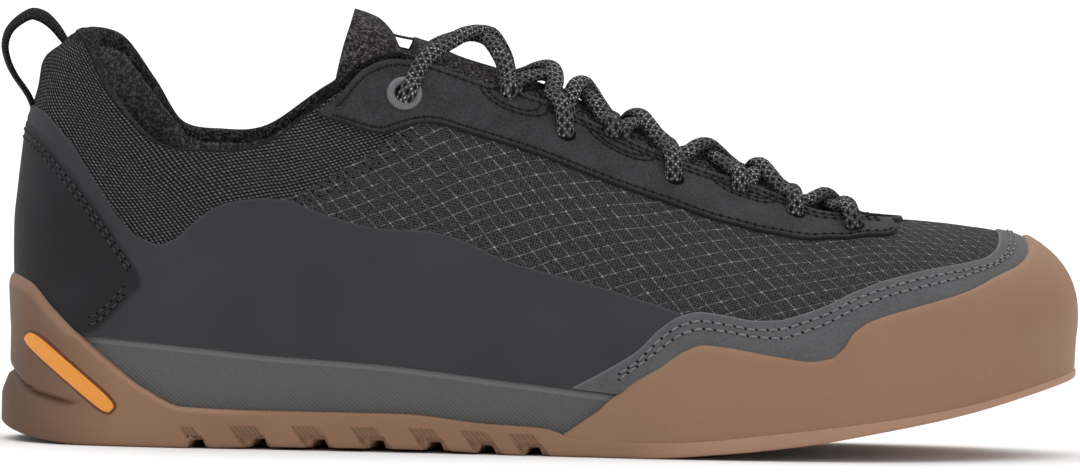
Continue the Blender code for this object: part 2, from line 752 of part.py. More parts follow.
def make_rings():
    """Flat washer round the top lace hole on each side."""
    sides, steps = 4, 16
    turn = 2 * math.pi * np.arange(steps) / steps
    share, climb, _ = HOLE_ROWS[0]
    for name, side in (("eyelet_ring_lateral", 1), ("eyelet_ring_medial", -1)):
        centre, outward = hole_frame(share, climb, side, OVERLAY_GAP + FACING_THICK + GAP)
        first, second = across(outward)
        spoke = np.outer(np.cos(turn), first) + np.outer(np.sin(turn), second)
        corners = [
            (EYELET_BORE / 2, 0),
            (RING_WIDTH / 2, 0),
            (RING_WIDTH / 2, RING_THICK),
            (EYELET_BORE / 2, RING_THICK),
        ]
        rings = np.stack([centre + radius * spoke + rise * outward for radius, rise in corners], axis=1)
        add_object(name, rings, ring_faces(steps, sides, True), (0.2, 0.2, 0.21), 0.5)


def tongue_arch(share, spans):
    """The tongue's upper surface across the throat: a cubic that leaves each edge along the wall's slope."""
    share = np.atleast_1d(share)
    depth = -(UPPER_WALL + 2 * GAP)
    edges, slopes = [], []
    for side in (1, -1):
        edge = station_points(side * share, 1.0, depth)
        edges.append(edge)
        slopes.append(unit(edge - station_points(side * share, 0.96, depth)))
    reach = 0.40 * np.linalg.norm(edges[1] - edges[0], axis=1, keepdims=True)
    rising, falling = edges[0] + reach * slopes[0], edges[1] + reach * slopes[1]
    t = np.asarray(spans, float)[None, :, None]
    ends = [point[:, None, :] for point in (edges[0], rising, falling, edges[1])]
    blend = ((1 - t) ** 3, 3 * (1 - t) ** 2 * t, 3 * (1 - t) * t**2, t**3)
    return sum(weight * end for weight, end in zip(blend, ends))


def grid_normals(grid):
    """Directions square to a grid of points."""
    return unit(np.cross(np.gradient(grid, axis=0), np.gradient(grid, axis=1)))


def make_tongue():
    """Padded tongue: it lies under both edges of the throat, arches over the instep and stands above it."""
    share = np.arange(round(0.43 * SIDE_STATIONS), SIDE_STATIONS - 1) / SIDE_STATIONS
    arch = tongue_arch(share, np.linspace(0, 1, 5))
    wing_low = along(((0.42, 0.80), (0.75, 0.84), (0.97, 0.93)), share)
    wings = []
    for side in (1, -1):
        rows = []
        for step in (0.0, 0.5):
            climb = wing_low + step * (1 - wing_low)
            rows.append([station_points(side * s, c, -(UPPER_WALL + 2 * GAP))[0] for s, c in zip(share, climb)])
        wings.append(np.array(rows).transpose(1, 0, 2))
    body = np.concatenate([wings[0], arch, wings[1][:, ::-1]], axis=1)
    middle = body.shape[1] // 2
    way = unit(body[0, middle] - body[2, middle])
    top_rows = []
    slant = 0.72 + 0.42 * np.linspace(-1, 1, body.shape[1])[:, None] ** 2
    for rise, narrow in ((1.0, 0.82), (0.6, 0.89), (0.25, 0.95)):
        section = body[0] + rise * TONGUE_TOP * slant * way
        section[:, 1] *= narrow
        top_rows.append(section)
    outer = np.concatenate([top_rows, body])
    normals = grid_normals(outer)
    thick = TONGUE_THICK * np.linspace(1, 0.55, len(outer))
    thick[0] *= 0.75
    inner = outer - normals * thick[:, None, None]
    points, faces = layer(outer, inner, False)
    return add_object("tongue", points, faces, (0.03, 0.03, 0.03), 0.95)


def make_pull_loop():
    """Webbing loop at the back of the heel, sewn below the collar's seam and above the counter."""
    depth = GAP + LOOP_THICK / 2 + GAP
    low = station_points(0.0, 0.76, depth)[0]
    high = station_points(0.0, 0.985, depth)[0]
    way = high - low
    outward = np.array([-way[2], 0, way[0]])
    share = np.linspace(0, 1, 22)
    path = low + np.outer(along(LOOP_ROWS, share, 1), way) + np.outer(along(LOOP_ROWS, share, 2), outward)
    run = unit(np.gradient(path, axis=0))
    square = LOOP_THICK / 2 * np.stack([-run[:, 2], run[:, 1], run[:, 0]], axis=-1)
    half = np.array([0, LOOP_WIDTH / 2, 0])
    corners = [path + square - half, path + square + half, path - square + half, path - square - half]
    points = np.stack(corners, axis=1)
    return add_object("pull_loop", points, ring_faces(len(path), 4, False), (0.03, 0.03, 0.03), 0.9)


def lace_bar(name, side, high_row, low_row):
    """Lace from one edge of the throat, or from outside the top hole, over the tongue and down to the next hole."""
    radius = LACE_RADIUS
    proud = OVERLAY_GAP + FACING_THICK + 2 * GAP + radius
    high_share, high_climb, lift = high_row
    low_share, low_climb, _ = low_row
    from_top = high_row == HOLE_ROWS[0]
    spans, lifts = np.array([0.80, 0.60, 0.40, 0.18]), np.array([0.8, 1.0, 1.0, 0.0]) * lift
    if from_top:
        spans, lifts = spans[:3], lifts[:3]
    shares = np.linspace(low_share, high_share + 0.020, 5)[1:]
    if side < 0:
        spans = 1 - spans
    pairs = list(zip(shares, spans))
    over = np.array([tongue_arch(share, [span])[0, 0] for share, span in pairs])
    slope = np.array([np.diff(tongue_arch(share, [span - 0.02, span + 0.02])[0], axis=0)[0] for share, span in pairs])
    square = unit(np.cross((1.0, 0.0, 0.0), slope))
    over = over + square * np.maximum(lifts, radius + 3 * GAP)[:, None]
    start, _ = hole_frame(low_share - 0.004, low_climb, -side, proud)
    path = [start, station_points(-side * (low_share - 0.006), 1.0, proud + GAP)[0], *over]
    if from_top:
        path += [station_points(side * (high_share + 0.020), 1.0, proud + 3 * GAP)[0]]
        path += [hole_frame(high_share + 0.004, high_climb, side, proud + RING_THICK + GAP)[0]]
    path = np.array(path)
    run = unit(np.gradient(path, axis=0))
    first = unit(np.cross(run, (1.0, 0.0, 0.0)))
    second = np.cross(run, first)
    turn = 2 * math.pi * (np.arange(LACE_SIDES) + 0.5) / LACE_SIDES
    rings = [path + radius * (math.cos(angle) * first + math.sin(angle) * second) for angle in turn]
    return add_object(name, np.stack(rings, axis=1), ring_faces(len(path), LACE_SIDES, False), (0.06, 0.06, 0.06), 0.9)


def make_laces():
    """Crossings of the lace, each one solid, from the top of the throat to its front."""
    for number, (high_row, low_row) in enumerate(zip(HOLE_ROWS, HOLE_ROWS[1:]), 1):
        crossing = lace_bar(f"lace_crossing_{number}", 1, high_row, low_row)
        join(crossing, lace_bar("other_bar", -1, high_row, low_row), "UNION")


def stand():
    """Parents every piece to one empty, so that the shoe stands on the middle of its own outline."""
    pieces = [obj for obj in bpy.context.scene.objects if obj.type == "MESH"]
    corners = np.array([corner[:] for obj in pieces for corner in obj.bound_box])
    low, high = corners.min(axis=0), corners.max(axis=0)
    base = bpy.data.objects.new("shoe", None)
    bpy.context.scene.collection.objects.link(base)
    base.location = (-(low[0] + high[0]) / 2, -(low[1] + high[1]) / 2, -low[2])
    for obj in pieces:
        obj.parent = base
    bpy.context.view_layer.update()


def main():
    for obj in list(bpy.data.objects):
        bpy.data.objects.remove(obj)
    make_upper()
    make_midsole()
    make_outsole()
    make_insole()
    make_rand()
    make_guard()
    make_facing()
    make_counter()
    make_rings()
    make_tongue()
    make_pull_loop()
    make_laces()
    stand()


main()
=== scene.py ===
"""Finished surfaces of a low hiking shoe with a climbing toe, for a right foot.

The shoe is one annular skin, the same as that of its solids. A station runs round it: 0 at the back of
the heel, 1 at the tip of the toe by the lateral side, and 2 at the heel again by the medial side. The
skin climbs from the tread's edge (-1) by the feather line (0) to the opening's edge (1), and a depth is
measured outward from it. Each piece is a numpy surface on that skin, in metres, with +X to the toe,
+Y to the medial side and +Z up.
"""

import math

import bpy
import numpy as np
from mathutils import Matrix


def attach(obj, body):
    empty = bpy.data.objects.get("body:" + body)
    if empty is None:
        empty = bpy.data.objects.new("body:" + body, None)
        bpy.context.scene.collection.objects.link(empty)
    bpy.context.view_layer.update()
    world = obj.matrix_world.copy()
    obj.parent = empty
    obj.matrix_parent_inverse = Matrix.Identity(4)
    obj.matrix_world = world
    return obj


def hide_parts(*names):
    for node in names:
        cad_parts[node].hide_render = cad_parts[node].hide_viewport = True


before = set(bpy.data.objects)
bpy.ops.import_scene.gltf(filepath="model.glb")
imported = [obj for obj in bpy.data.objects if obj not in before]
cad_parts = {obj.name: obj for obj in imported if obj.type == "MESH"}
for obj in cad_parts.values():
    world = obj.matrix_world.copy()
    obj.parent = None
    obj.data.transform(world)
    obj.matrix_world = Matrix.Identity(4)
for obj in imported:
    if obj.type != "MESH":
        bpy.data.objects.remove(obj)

# Driving sizes of the shoe, as in its solids, in metres
SHOE_LENGTH = 0.300
BALL_WIDTH = 0.102
HEEL_WIDTH = 0.072
HEEL_HEIGHT = 0.113
DIP_HEIGHT = 0.082
INSTEP_HEIGHT = 0.110
TOE_HEIGHT = 0.0640
HEEL_STACK = 0.031
BALL_STACK = 0.017
TOE_LIFT = 0.0215
UPPER_WALL = 0.0020
COLLAR_PAD = 0.0085
LEDGE = 0.0014
FACING_THICK = 0.0013
GUARD_THICK = 0.0009
COUNTER_THICK = 0.0011
FILM_THICK = 0.0004
RAND_THICK = 0.0026
RUBBER_THICK = 0.0026
HEEL_LOBE = 0.0022
INSOLE_THICK = 0.0042
INSOLE_CUP = 0.0035
TONGUE_THICK = 0.0045
LOOP_WIDTH = 0.0095
LOOP_THICK = 0.0018
LACE_WIDTH = 0.0052
LACE_HEIGHT = 0.0033
EYELET_BORE = 0.0052
RING_WIDTH = 0.0100
GROOVE_DEPTH = 0.0022
BALL_GROOVE_DEPTH = 0.0014
GROOVE_WIDTH = 0.0034
STEP = 1 / 36

# About the length of one unit of station along the shoe's side, in metres
STATION_LENGTH = 0.29

# Names of the sides and the sign of their stations
SIDES = (("lateral", 1), ("medial", -1))

# Where the skin's own zero, on the floor under the back of the heel, lies in the row's frame
ORIGIN = np.array([-0.14911, 0.00068, 0.0])

# Feather line: x share of SHOE_LENGTH | lateral, medial share of the width | ball part | height
FEATHER_ROWS = (
    (0.015, 0.000, 0.000, 0.00, 1.000 * HEEL_STACK),
    (0.031, -0.255, 0.250, 0.00, 1.000 * HEEL_STACK),
    (0.070, -0.415, 0.405, 0.00, 1.000 * HEEL_STACK),
    (0.127, -0.495, 0.480, 0.00, 0.965 * HEEL_STACK),
    (0.240, -0.470, 0.425, 0.30, 0.870 * HEEL_STACK),
    (0.367, -0.440, 0.355, 0.70, 0.790 * HEEL_STACK),
    (0.485, -0.445, 0.355, 1.00, 0.665 * HEEL_STACK),
    (0.627, -0.500, 0.450, 1.00, 1.000 * BALL_STACK),
    (0.700, -0.508, 0.485, 1.00, 1.050 * BALL_STACK),
    (0.773, -0.490, 0.492, 1.00, 0.94 * TOE_LIFT),
    (0.840, -0.438, 0.460, 1.00, 1.12 * TOE_LIFT),
    (0.900, -0.345, 0.412, 1.00, 1.30 * TOE_LIFT),
    (0.949, -0.212, 0.330, 1.00, 1.45 * TOE_LIFT),
    (0.980, -0.060, 0.225, 1.00, 1.54 * TOE_LIFT),
    (0.988, 0.098, 0.098, 1.00, 1.56 * TOE_LIFT),
)

# Opening: station | lateral x, medial x, shares of SHOE_LENGTH | lateral y, medial y, of HEEL_WIDTH | height
OPENING_ROWS = (
    (0.000, 0.048, 0.048, 0.000, 0.000, 1.000 * HEEL_HEIGHT),
    (0.050, 0.056, 0.062, -0.150, 0.150, 0.996 * HEEL_HEIGHT),
    (0.100, 0.072, 0.098, -0.260, 0.255, 0.965 * HEEL_HEIGHT),
    (0.155, 0.096, 0.133, -0.345, 0.335, 0.855 * HEEL_HEIGHT),
    (0.210, 0.137, 0.160, -0.410, 0.400, 1.028 * DIP_HEIGHT),
    (0.262, 0.183, 0.200, -0.440, 0.430, 1.000 * DIP_HEIGHT),
    (0.315, 0.242, 0.248, -0.440, 0.430, 1.030 * DIP_HEIGHT),
    (0.367, 0.307, 0.307, -0.385, 0.380, 0.898 * INSTEP_HEIGHT),
    (0.420, 0.373, 0.373, -0.300, 0.300, 0.987 * INSTEP_HEIGHT),
    (0.473, 0.440, 0.440, -0.255, 0.255, 0.930 * INSTEP_HEIGHT),
    (0.532, 0.512, 0.512, -0.222, 0.222, 0.872 * INSTEP_HEIGHT),
    (0.597, 0.594, 0.594, -0.195, 0.195, 0.770 * INSTEP_HEIGHT),
    (0.661, 0.680, 0.680, -0.172, 0.180, 0.690 * INSTEP_HEIGHT),
    (0.726, 0.747, 0.747, -0.155, 0.172, 1.070 * TOE_HEIGHT),
    (0.786, 0.790, 0.790, -0.135, 0.160, 1.036 * TOE_HEIGHT),
    (0.844, 0.812, 0.812, -0.102, 0.142, 1.024 * TOE_HEIGHT),
    (0.902, 0.824, 0.824, -0.055, 0.115, 1.020 * TOE_HEIGHT),
    (0.954, 0.829, 0.829, -0.008, 0.075, 1.020 * TOE_HEIGHT),
    (1.000, 0.830, 0.830, 0.035, 0.035, 1.020 * TOE_HEIGHT),
)

# Section: station | lean outward, degrees | low handle | fall from the opening, degrees | high handle
SECTION_ROWS = (
    (0.00, 4, 0.36, 64, 0.34),
    (0.10, 4, 0.34, 70, 0.32),
    (0.20, 3, 0.32, 78, 0.30),
    (0.30, 3, 0.30, 72, 0.30),
    (0.37, 3, 0.30, 62, 0.32),
    (0.45, 4, 0.28, 52, 0.32),
    (0.55, 4, 0.28, 50, 0.32),
    (0.65, 6, 0.32, 42, 0.34),
    (0.75, 9, 0.38, 28, 0.42),
    (0.85, 10, 0.36, 12, 0.50),
    (1.00, 7, 0.34, 2, 0.63),
)

# x share of SHOE_LENGTH | height of the tread's underside, and of the top of the gum rubber
UNDERSIDE_ROWS = (
    (0.000, 0.300 * HEEL_STACK),
    (0.010, 0.185 * HEEL_STACK),
    (0.020, 0.110 * HEEL_STACK),
    (0.037, 0.055 * HEEL_STACK),
    (0.057, 0.018 * HEEL_STACK),
    (0.080, 0.000),
    (0.167, 0.000),
    (0.267, 0.025 * HEEL_STACK),
    (0.390, 0.030 * HEEL_STACK),
    (0.493, 0.000),
    (0.593, 0.000),
    (0.670, 0.075 * TOE_LIFT),
    (0.743, 0.195 * TOE_LIFT),
    (0.817, 0.385 * TOE_LIFT),
    (0.890, 0.605 * TOE_LIFT),
    (0.965, 0.910 * TOE_LIFT),
    (1.010, 1.120 * TOE_LIFT),
)
RUBBER_ROWS = (
    (0.000, 1.500 * HEEL_STACK),
    (0.015, 1.500 * HEEL_STACK),
    (0.031, 1.440 * HEEL_STACK),
    (0.050, 1.230 * HEEL_STACK),
    (0.072, 1.010 * HEEL_STACK),
    (0.100, 0.770 * HEEL_STACK),
    (0.135, 0.520 * HEEL_STACK),
    (0.170, 0.370 * HEEL_STACK),
    (0.237, 0.350 * HEEL_STACK),
    (0.370, 0.348 * HEEL_STACK),
    (0.447, 0.280 * HEEL_STACK),
    (0.503, 0.250 * HEEL_STACK),
    (0.540, 0.290 * BALL_STACK),
    (0.600, 0.260 * BALL_STACK),
    (0.650, 0.300 * BALL_STACK),
    (0.707, 0.330 * TOE_LIFT),
    (0.800, 0.500 * TOE_LIFT),
    (0.890, 0.722 * TOE_LIFT),
    (0.965, 1.015 * TOE_LIFT),
    (1.010, 1.250 * TOE_LIFT),
)

# Borders of the overlays: share of the way to the toe | climb
RAND_TOP_ROWS = (
    (0.500, -0.720),
    (0.530, -0.300),
    (0.548, 0.000),
    (0.582, 0.123),
    (0.603, 0.190),
    (0.617, 0.213),
    (0.632, 0.207),
    (0.677, 0.160),
    (0.705, 0.130),
    (0.718, 0.136),
    (0.728, 0.170),
    (0.738, 0.240),
    (0.753, 0.287),
    (0.793, 0.333),
    (0.842, 0.373),
    (0.887, 0.433),
    (0.922, 0.460),
    (0.975, 0.545),
    (1.000, 0.585),
)
GUARD_TOP_ROWS = (
    (0.500, -0.020),
    (0.508, 0.002),
    (0.538, 0.090),
    (0.562, 0.167),
    (0.585, 0.270),
    (0.602, 0.323),
    (0.618, 0.343),
    (0.638, 0.333),
    (0.660, 0.317),
    (0.678, 0.320),
    (0.697, 0.347),
    (0.717, 0.387),
    (0.748, 0.470),
    (0.782, 0.523),
    (0.820, 0.550),
    (0.860, 0.556),
    (0.893, 0.562),
    (0.918, 0.588),
    (0.957, 0.650),
    (1.000, 0.690),
)
FACING_LOW_ROWS = (
    (0.351, 0.972),
    (0.365, 0.885),
    (0.390, 0.785),
    (0.415, 0.777),
    (0.443, 0.767),
    (0.470, 0.777),
    (0.507, 0.767),
    (0.543, 0.755),
    (0.600, 0.765),
    (0.643, 0.745),
    (0.693, 0.755),
    (0.738, 0.805),
    (0.770, 0.817),
    (0.808, 0.825),
    (0.832, 0.865),
    (0.852, 0.930),
    (0.875, 0.972),
    (1.000, 0.984),
)
COUNTER_TOP_ROWS = (
    (0.000, 0.690),
    (0.030, 0.672),
    (0.058, 0.640),
    (0.088, 0.570),
    (0.133, 0.423),
    (0.156, 0.300),
    (0.162, 0.255),
)
COUNTER_LOW_ROWS = (
    (0.000, 0.003),
    (0.113, 0.003),
    (0.155, 0.190),
    (0.162, 0.225),
)
FILM_TOP_ROWS = (
    (0.000, 0.750),
    (0.048, 0.730),
    (0.095, 0.645),
    (0.119, 0.565),
    (0.165, 0.432),
    (0.180, 0.435),
    (0.196, 0.480),
    (0.238, 0.660),
    (0.270, 0.745),
    (0.296, 0.765),
    (0.314, 0.735),
    (0.335, 0.620),
    (0.362, 0.510),
    (0.400, 0.455),
    (0.465, 0.393),
    (0.520, 0.375),
    (0.570, 0.360),
    (0.612, 0.320),
)
CLOTH_TOP_ROWS = (
    (0.296, 0.725),
    (0.312, 0.741),
    (0.362, 0.748),
    (0.418, 0.800),
    (0.450, 0.830),
    (0.700, 0.850),
    (0.800, 0.880),
    (1.000, 0.992),
)

# Lace holes from the top down: share | climb | length of the slit, or 0 for a round hole
HOLE_ROWS = (
    (0.408, 0.883, 0.0),
    (0.4915, 0.980, 0.0085),
    (0.532, 0.885, 0.0),
    (0.572, 0.978, 0.0080),
    (0.613, 0.887, 0.0),
    (0.662, 0.945, 0.0075),
    (0.708, 0.920, 0.0),
    (0.770, 0.890, 0.0),
)

# By the share of a strand's upper hole: how far its top leans forward, in share, and how much higher it is
LEANS = {0.4915: (0.0165, 0.0011), 0.532: (0.0, 0.0014), 0.662: (-0.006, 0.0), 0.708: (0.010, -0.0003)}

# Top strand of the lace, from the slit by its loose arc to the ring: x, y towards the ring, height
TOP_STRAND = (
    (0.1392, -0.0165, 0.0970),
    (0.1394, -0.0184, 0.1005),
    (0.1396, -0.0174, 0.1032),
    (0.1388, -0.0145, 0.1072),
    (0.1367, -0.0095, 0.1116),
    (0.1344, -0.0045, 0.1145),
    (0.1316, 0.0005, 0.1154),
    (0.1279, 0.0060, 0.1152),
    (0.1238, 0.0120, 0.1135),
    (0.1192, 0.0180, 0.1110),
    (0.1155, 0.0228, 0.1074),
    (0.1132, 0.0266, 0.1028),
    (0.1119, 0.0292, 0.0998),
    (0.1112, 0.0290, 0.0980),
    (0.1110, 0.0262, 0.0965),
)

# Pull loop: x | height of its outer face | turn of the tape about its own line in degrees
LOOP_ROWS = (
    (0.0067, 0.0918, 2),
    (0.0056, 0.0946, 2),
    (0.0037, 0.0974, 3),
    (0.0012, 0.1007, 4),
    (-0.0012, 0.1051, 6),
    (-0.0023, 0.1098, 8),
    (-0.0015, 0.1140, 10),
    (0.0023, 0.1185, 13),
    (0.0064, 0.1206, 16),
    (0.0101, 0.1198, 17),
    (0.0138, 0.1165, 13),
    (0.0162, 0.1128, 8),
)

# Crease above the lobe at the back of the heel: x | height
HEEL_CREASE = (
    (0.0, 0.0245),
    (0.0030, 0.0231),
    (0.0050, 0.0192),
    (0.0097, 0.0148),
    (0.0151, 0.0130),
    (0.0202, 0.0121),
    (0.0600, 0.0115),
)

# Zigzag grooves across the tread: x share of SHOE_LENGTH of the middle of each, how far their bends lie
# ahead of that, and how far behind it a heel groove comes out at the side
HEEL_GROOVES = (0.182, 0.240, 0.297, 0.352, 0.406, 0.455, 0.499)
BALL_GROOVES = (0.560, 0.610, 0.660, 0.710, 0.760)
GROOVE_BEND = 0.020
GROOVE_EXIT = 0.001

# Long groove on each side of the tread's middle: x share of SHOE_LENGTH | y share of BALL_WIDTH
LONG_GROOVE = ((0.060, 0.135), (0.190, 0.180), (0.300, 0.130), (0.420, 0.180), (0.530, 0.130))

# Share of the way to the toe | how far the collar's padded rim stands above the opening's edge
COLLAR_RIM_ROWS = (
    (0.312, -0.0002),
    (0.330, 0.0004),
    (0.345, 0.0013),
    (0.3675, 0.0027),
    (0.388, 0.0045),
    (0.409, 0.0037),
    (0.4215, 0.0022),
    (0.431, 0.0010),
    (0.452, -0.0012),
)

# Share of the way to the toe | climb of the facing's upper border
FACING_TOP_ROWS = (
    (0.351, 0.985),
    (0.3675, 0.992),
    (0.378, 1.012),
    (0.388, 1.026),
    (0.399, 1.022),
    (0.409, 1.011),
    (0.4215, 0.992),
    (0.440, 0.988),
    (0.470, 1.000),
    (1.000, 1.000),
)

# Padding: share of the way to the toe | part of the collar's padding that the wall has
PAD_ROWS = ((0.0, 1.0), (0.25, 0.95), (0.32, 0.72), (0.38, 0.22), (0.42, 0.0), (1.0, 0.0))

# Crest over the wall: share of the way to the toe | its height by the wall's thickness, on each side
LATERAL_ROLL = ((0.0, 0.62), (0.06, 0.58), (0.11, 0.30), (0.16, 0.10), (1.0, 0.10))
MEDIAL_ROLL = ((0.0, 0.62), (0.40, 0.60), (0.50, 0.15), (1.0, 0.10))

# Relief of the skin by its climb: outward swell of the padding at the heel, and of the toe's fullness
SWELL_ROWS = (
    (0.70, 0.0),
    (0.80, 0.0002),
    (0.85, 0.0009),
    (0.89, 0.0015),
    (0.915, 0.0013),
    (0.94, 0.0004),
    (0.97, -0.0011),
    (1.0, -0.0020),
)
FULL_ROWS = (
    (-1.0, 0.0006),
    (0.0, 0.0011),
    (0.30, 0.0017),
    (0.58, 0.0020),
    (0.69, 0.0012),
    (0.80, 0.0003),
    (0.90, 0.0),
)

# Flex creases above the ball: share of the way to the toe | lean with the climb | half width | depth
FLEX_CREASES = ((0.655, 0.10, 0.013, 0.0004), (0.705, 0.07, 0.012, 0.0005), (0.750, 0.03, 0.011, 0.0003))

# Rim of an overlay: how far its rounded rows lie from its border, in metres
RIM_STEPS = np.array([0.0, 0.00012, 0.0003, 0.0006, 0.0011])

# Rings of the footbed from its lower edge up and inward: way inward from the upper | height above its base
INSOLE_RINGS = (
    (0.0, 0.0),
    (0.0, INSOLE_THICK + INSOLE_CUP),
    (0.0015, INSOLE_THICK + INSOLE_CUP),
    (0.005, INSOLE_THICK + 0.0012),
    (0.009, INSOLE_THICK),
    (0.016, INSOLE_THICK),
)

# Middle line of the tongue's free end, as the side view shows it: x | height
FLAP_ROWS = (
    (0.0965, 0.1211),
    (0.0995, 0.1202),
    (0.1034, 0.1186),
    (0.1079, 0.1142),
    (0.1100, 0.1103),
    (0.1124, 0.1099),
)

# Middle line of the keeper on the tongue: x, y, height
KEEPER_LINE = (
    (0.1035, 0, 0.1172),
    (0.1060, 0, 0.1153),
    (0.1080, 0, 0.1145),
    (0.1108, 0, 0.1139),
    (0.1136, 0, 0.1134),
    (0.1165, 0, 0.1122),
)

# The skin


def column(rows, index):
    """One column of a table."""
    return np.array([row[index] for row in rows], float)


def hermite(start, end, start_slope, end_slope, share):
    """Cubic between two values with a given slope at each, both slopes per whole stretch."""
    square, cube = share**2, share**3
    return (
        (2 * cube - 3 * square + 1) * start
        + (cube - 2 * square + share) * start_slope
        + (3 * square - 2 * cube) * end
        + (cube - square) * end_slope
    )


def along(rows, at, index=1):
    """Value of a table at a place along its first column: smooth, and never past its neighbouring rows."""
    knots, values = column(rows, 0), column(rows, index)
    width = np.diff(knots)
    slope = np.diff(values) / width
    same_way = slope[:-1] * slope[1:] > 0
    mean = 2 * slope[:-1] * slope[1:] / np.where(same_way, slope[:-1] + slope[1:], 1)
    tangent = np.concatenate([slope[:1], np.where(same_way, mean, 0), slope[-1:]])
    at = np.clip(at, knots[0], knots[-1])
    low = np.clip(np.searchsorted(knots, at, side="right") - 1, 0, len(width) - 1)
    share = (at - knots[low]) / width[low]
    slopes = tangent[low] * width[low], tangent[low + 1] * width[low]
    return hermite(values[low], values[low + 1], *slopes, share)


def around(knots, lateral, medial, station):
    """Smooth closed curve: through the lateral rows on the way out, and the medial rows on the way back."""
    station = np.mod(station, 2.0)
    knots = np.concatenate([knots, 2 - knots[-2:0:-1]])
    values = np.concatenate([lateral, medial[-2:0:-1]])
    ahead = np.append(knots[1:], 2) - knots
    behind = np.roll(ahead, 1)
    rise = (np.roll(values, -1) - values) / ahead
    tangent = (rise * behind + np.roll(rise, 1) * ahead) / (ahead + behind)
    low = np.searchsorted(knots, station, side="right") - 1
    high = (low + 1) % len(knots)
    share = (station - knots[low]) / ahead[low]
    return hermite(values[low], values[high], tangent[low] * ahead[low], tangent[high] * ahead[low], share)


def unit(vectors):
    """Vectors of length one."""
    return vectors / np.maximum(np.linalg.norm(vectors, axis=-1, keepdims=True), 1e-12)


def smooth(low, high, value):
    """0 below low, 1 above high, and a cubic with level ends between."""
    share = np.clip((value - low) / (high - low), 0, 1)
    return share * share * (3 - 2 * share)


def side_share(station):
    """A station's share of the way from heel to toe on its own side."""
    station = np.mod(station, 2.0)
    return np.where(station > 1, 2 - station, station)


def feather_at(station):
    """The feather line at any stations, evenly spaced along each side."""
    x = column(FEATHER_ROWS, 0) * SHOE_LENGTH
    width = HEEL_WIDTH + (BALL_WIDTH - HEEL_WIDTH) * column(FEATHER_ROWS, 3)
    lateral, medial = column(FEATHER_ROWS, 1) * width, column(FEATHER_ROWS, 2) * width
    height = column(FEATHER_ROWS, 4)
    knots = np.append(0, np.cumsum(np.hypot(np.diff(x), np.diff(lateral))))
    sides = (x, x), (lateral, medial), (height, height)
    return np.stack([around(knots / knots[-1], *side, station) for side in sides], axis=-1)


def opening_at(station):
    """The opening's edge at any stations."""
    knots = column(OPENING_ROWS, 0)
    sides = [column(OPENING_ROWS, index) for index in range(1, 6)]
    pairs = (
        (sides[0] * SHOE_LENGTH, sides[1] * SHOE_LENGTH),
        (sides[2] * HEEL_WIDTH, sides[3] * HEEL_WIDTH),
        (sides[4], sides[4]),
    )
    return np.stack([around(knots, *pair, station) for pair in pairs], axis=-1)


def underside(x):
    """Height of the tread's underside, along the shoe."""
    return along(UNDERSIDE_ROWS, x / SHOE_LENGTH)


def bare_skin(station, climb):
    """The skin: a cubic from the feather line to the opening, and a straight side below the feather line."""
    share = side_share(station)
    feather, opening = feather_at(station), opening_at(station)
    run = feather_at(station + STEP) - feather_at(station - STEP)
    outward = unit(np.stack([run[..., 1], -run[..., 0], 0 * run[..., 0]], axis=-1))
    lean, low, fall, high = (along(SECTION_ROWS, share, index)[..., None] for index in range(1, 5))
    lean, fall = np.radians(lean), np.radians(fall)
    reach = np.linalg.norm(opening - feather, axis=-1, keepdims=True)
    up = np.array([0.0, 0.0, 1.0])
    across = unit((feather - opening) * (1, 1, 0))
    rising = feather + low * reach * (np.sin(lean) * outward + np.cos(lean) * up)
    arriving = opening + high * reach * (np.cos(fall) * across - np.sin(fall) * up)
    edge = feather.copy()
    edge[..., 2] = underside(edge[..., 0])
    part = np.clip(climb, 0, 1.05)[..., None]
    rest = 1 - part
    down = np.clip(-climb, 0, 1.2)[..., None]
    above = rest**3 * feather + 3 * rest**2 * part * rising + 3 * rest * part**2 * arriving
    return above + part**3 * opening + down * (edge - feather)


def skin_normal(station, climb):
    """Direction straight out of the skin."""
    run = bare_skin(station + STEP, climb) - bare_skin(station - STEP, climb)
    rise = bare_skin(station, climb + 0.01) - bare_skin(station, climb - 0.01)
    return unit(np.cross(run, rise))


def relief(station, climb):
    """Outward swell and soft creases: padding at the back of the collar, the toe's fullness, flex, slack.

    A swell falls off as a bell or a smooth step along the shoe. A crease is a bell across its line. Slack
    cloth waves as a sine below the throat, and another, slower sine bends the quarter.
    """
    share = side_share(station)
    swell = along(SWELL_ROWS, climb)
    flex = swell * np.exp(-((share / 0.06) ** 2))
    full = along(FULL_ROWS, climb)
    flex = flex + full * smooth(0.88, 0.985, share)
    for place, lean, wide, deep in FLEX_CREASES:
        line = place + lean * (climb - 0.6)
        crease = deep * np.exp(-(((share - line) / wide) ** 2))
        flex = flex - crease * smooth(0.38, 0.58, climb) * smooth(1.02, 0.86, climb)
    slack = 0.0003 * np.sin(2 * math.pi * share / 0.095) * smooth(0.74, 0.86, climb)
    slack = slack * smooth(0.42, 0.5, share) * smooth(0.84, 0.78, share)
    quarter = 0.0005 * np.sin(9 * climb + 14 * share) * smooth(0.30, 0.45, climb)
    quarter = quarter * smooth(0.85, 0.7, climb) * smooth(0.5, 0.4, share)
    return flex + slack + quarter


def skin(station, climb, depth=0.0):
    """Points at a station, a climb and a depth outward, in the row's frame."""
    station, climb = np.asarray(station, float), np.asarray(climb, float)
    whole = np.asarray(depth, float) + relief(station, climb)
    return bare_skin(station, climb) + whole[..., None] * skin_normal(station, climb) + ORIGIN


def climb_at(station, height):
    """The climb at which the skin of each station is at a height above the floor."""
    steps = np.linspace(-1.2, 0.6, 361)
    heights = bare_skin(station[:, None], steps[None, :] + 0 * station[:, None])[..., 2]
    return np.array([np.interp(z, row, steps) for z, row in zip(height, heights)])


def rubber_height(x):
    """Height of the top of the gum rubber, along the shoe."""
    return along(RUBBER_ROWS, x / SHOE_LENGTH)


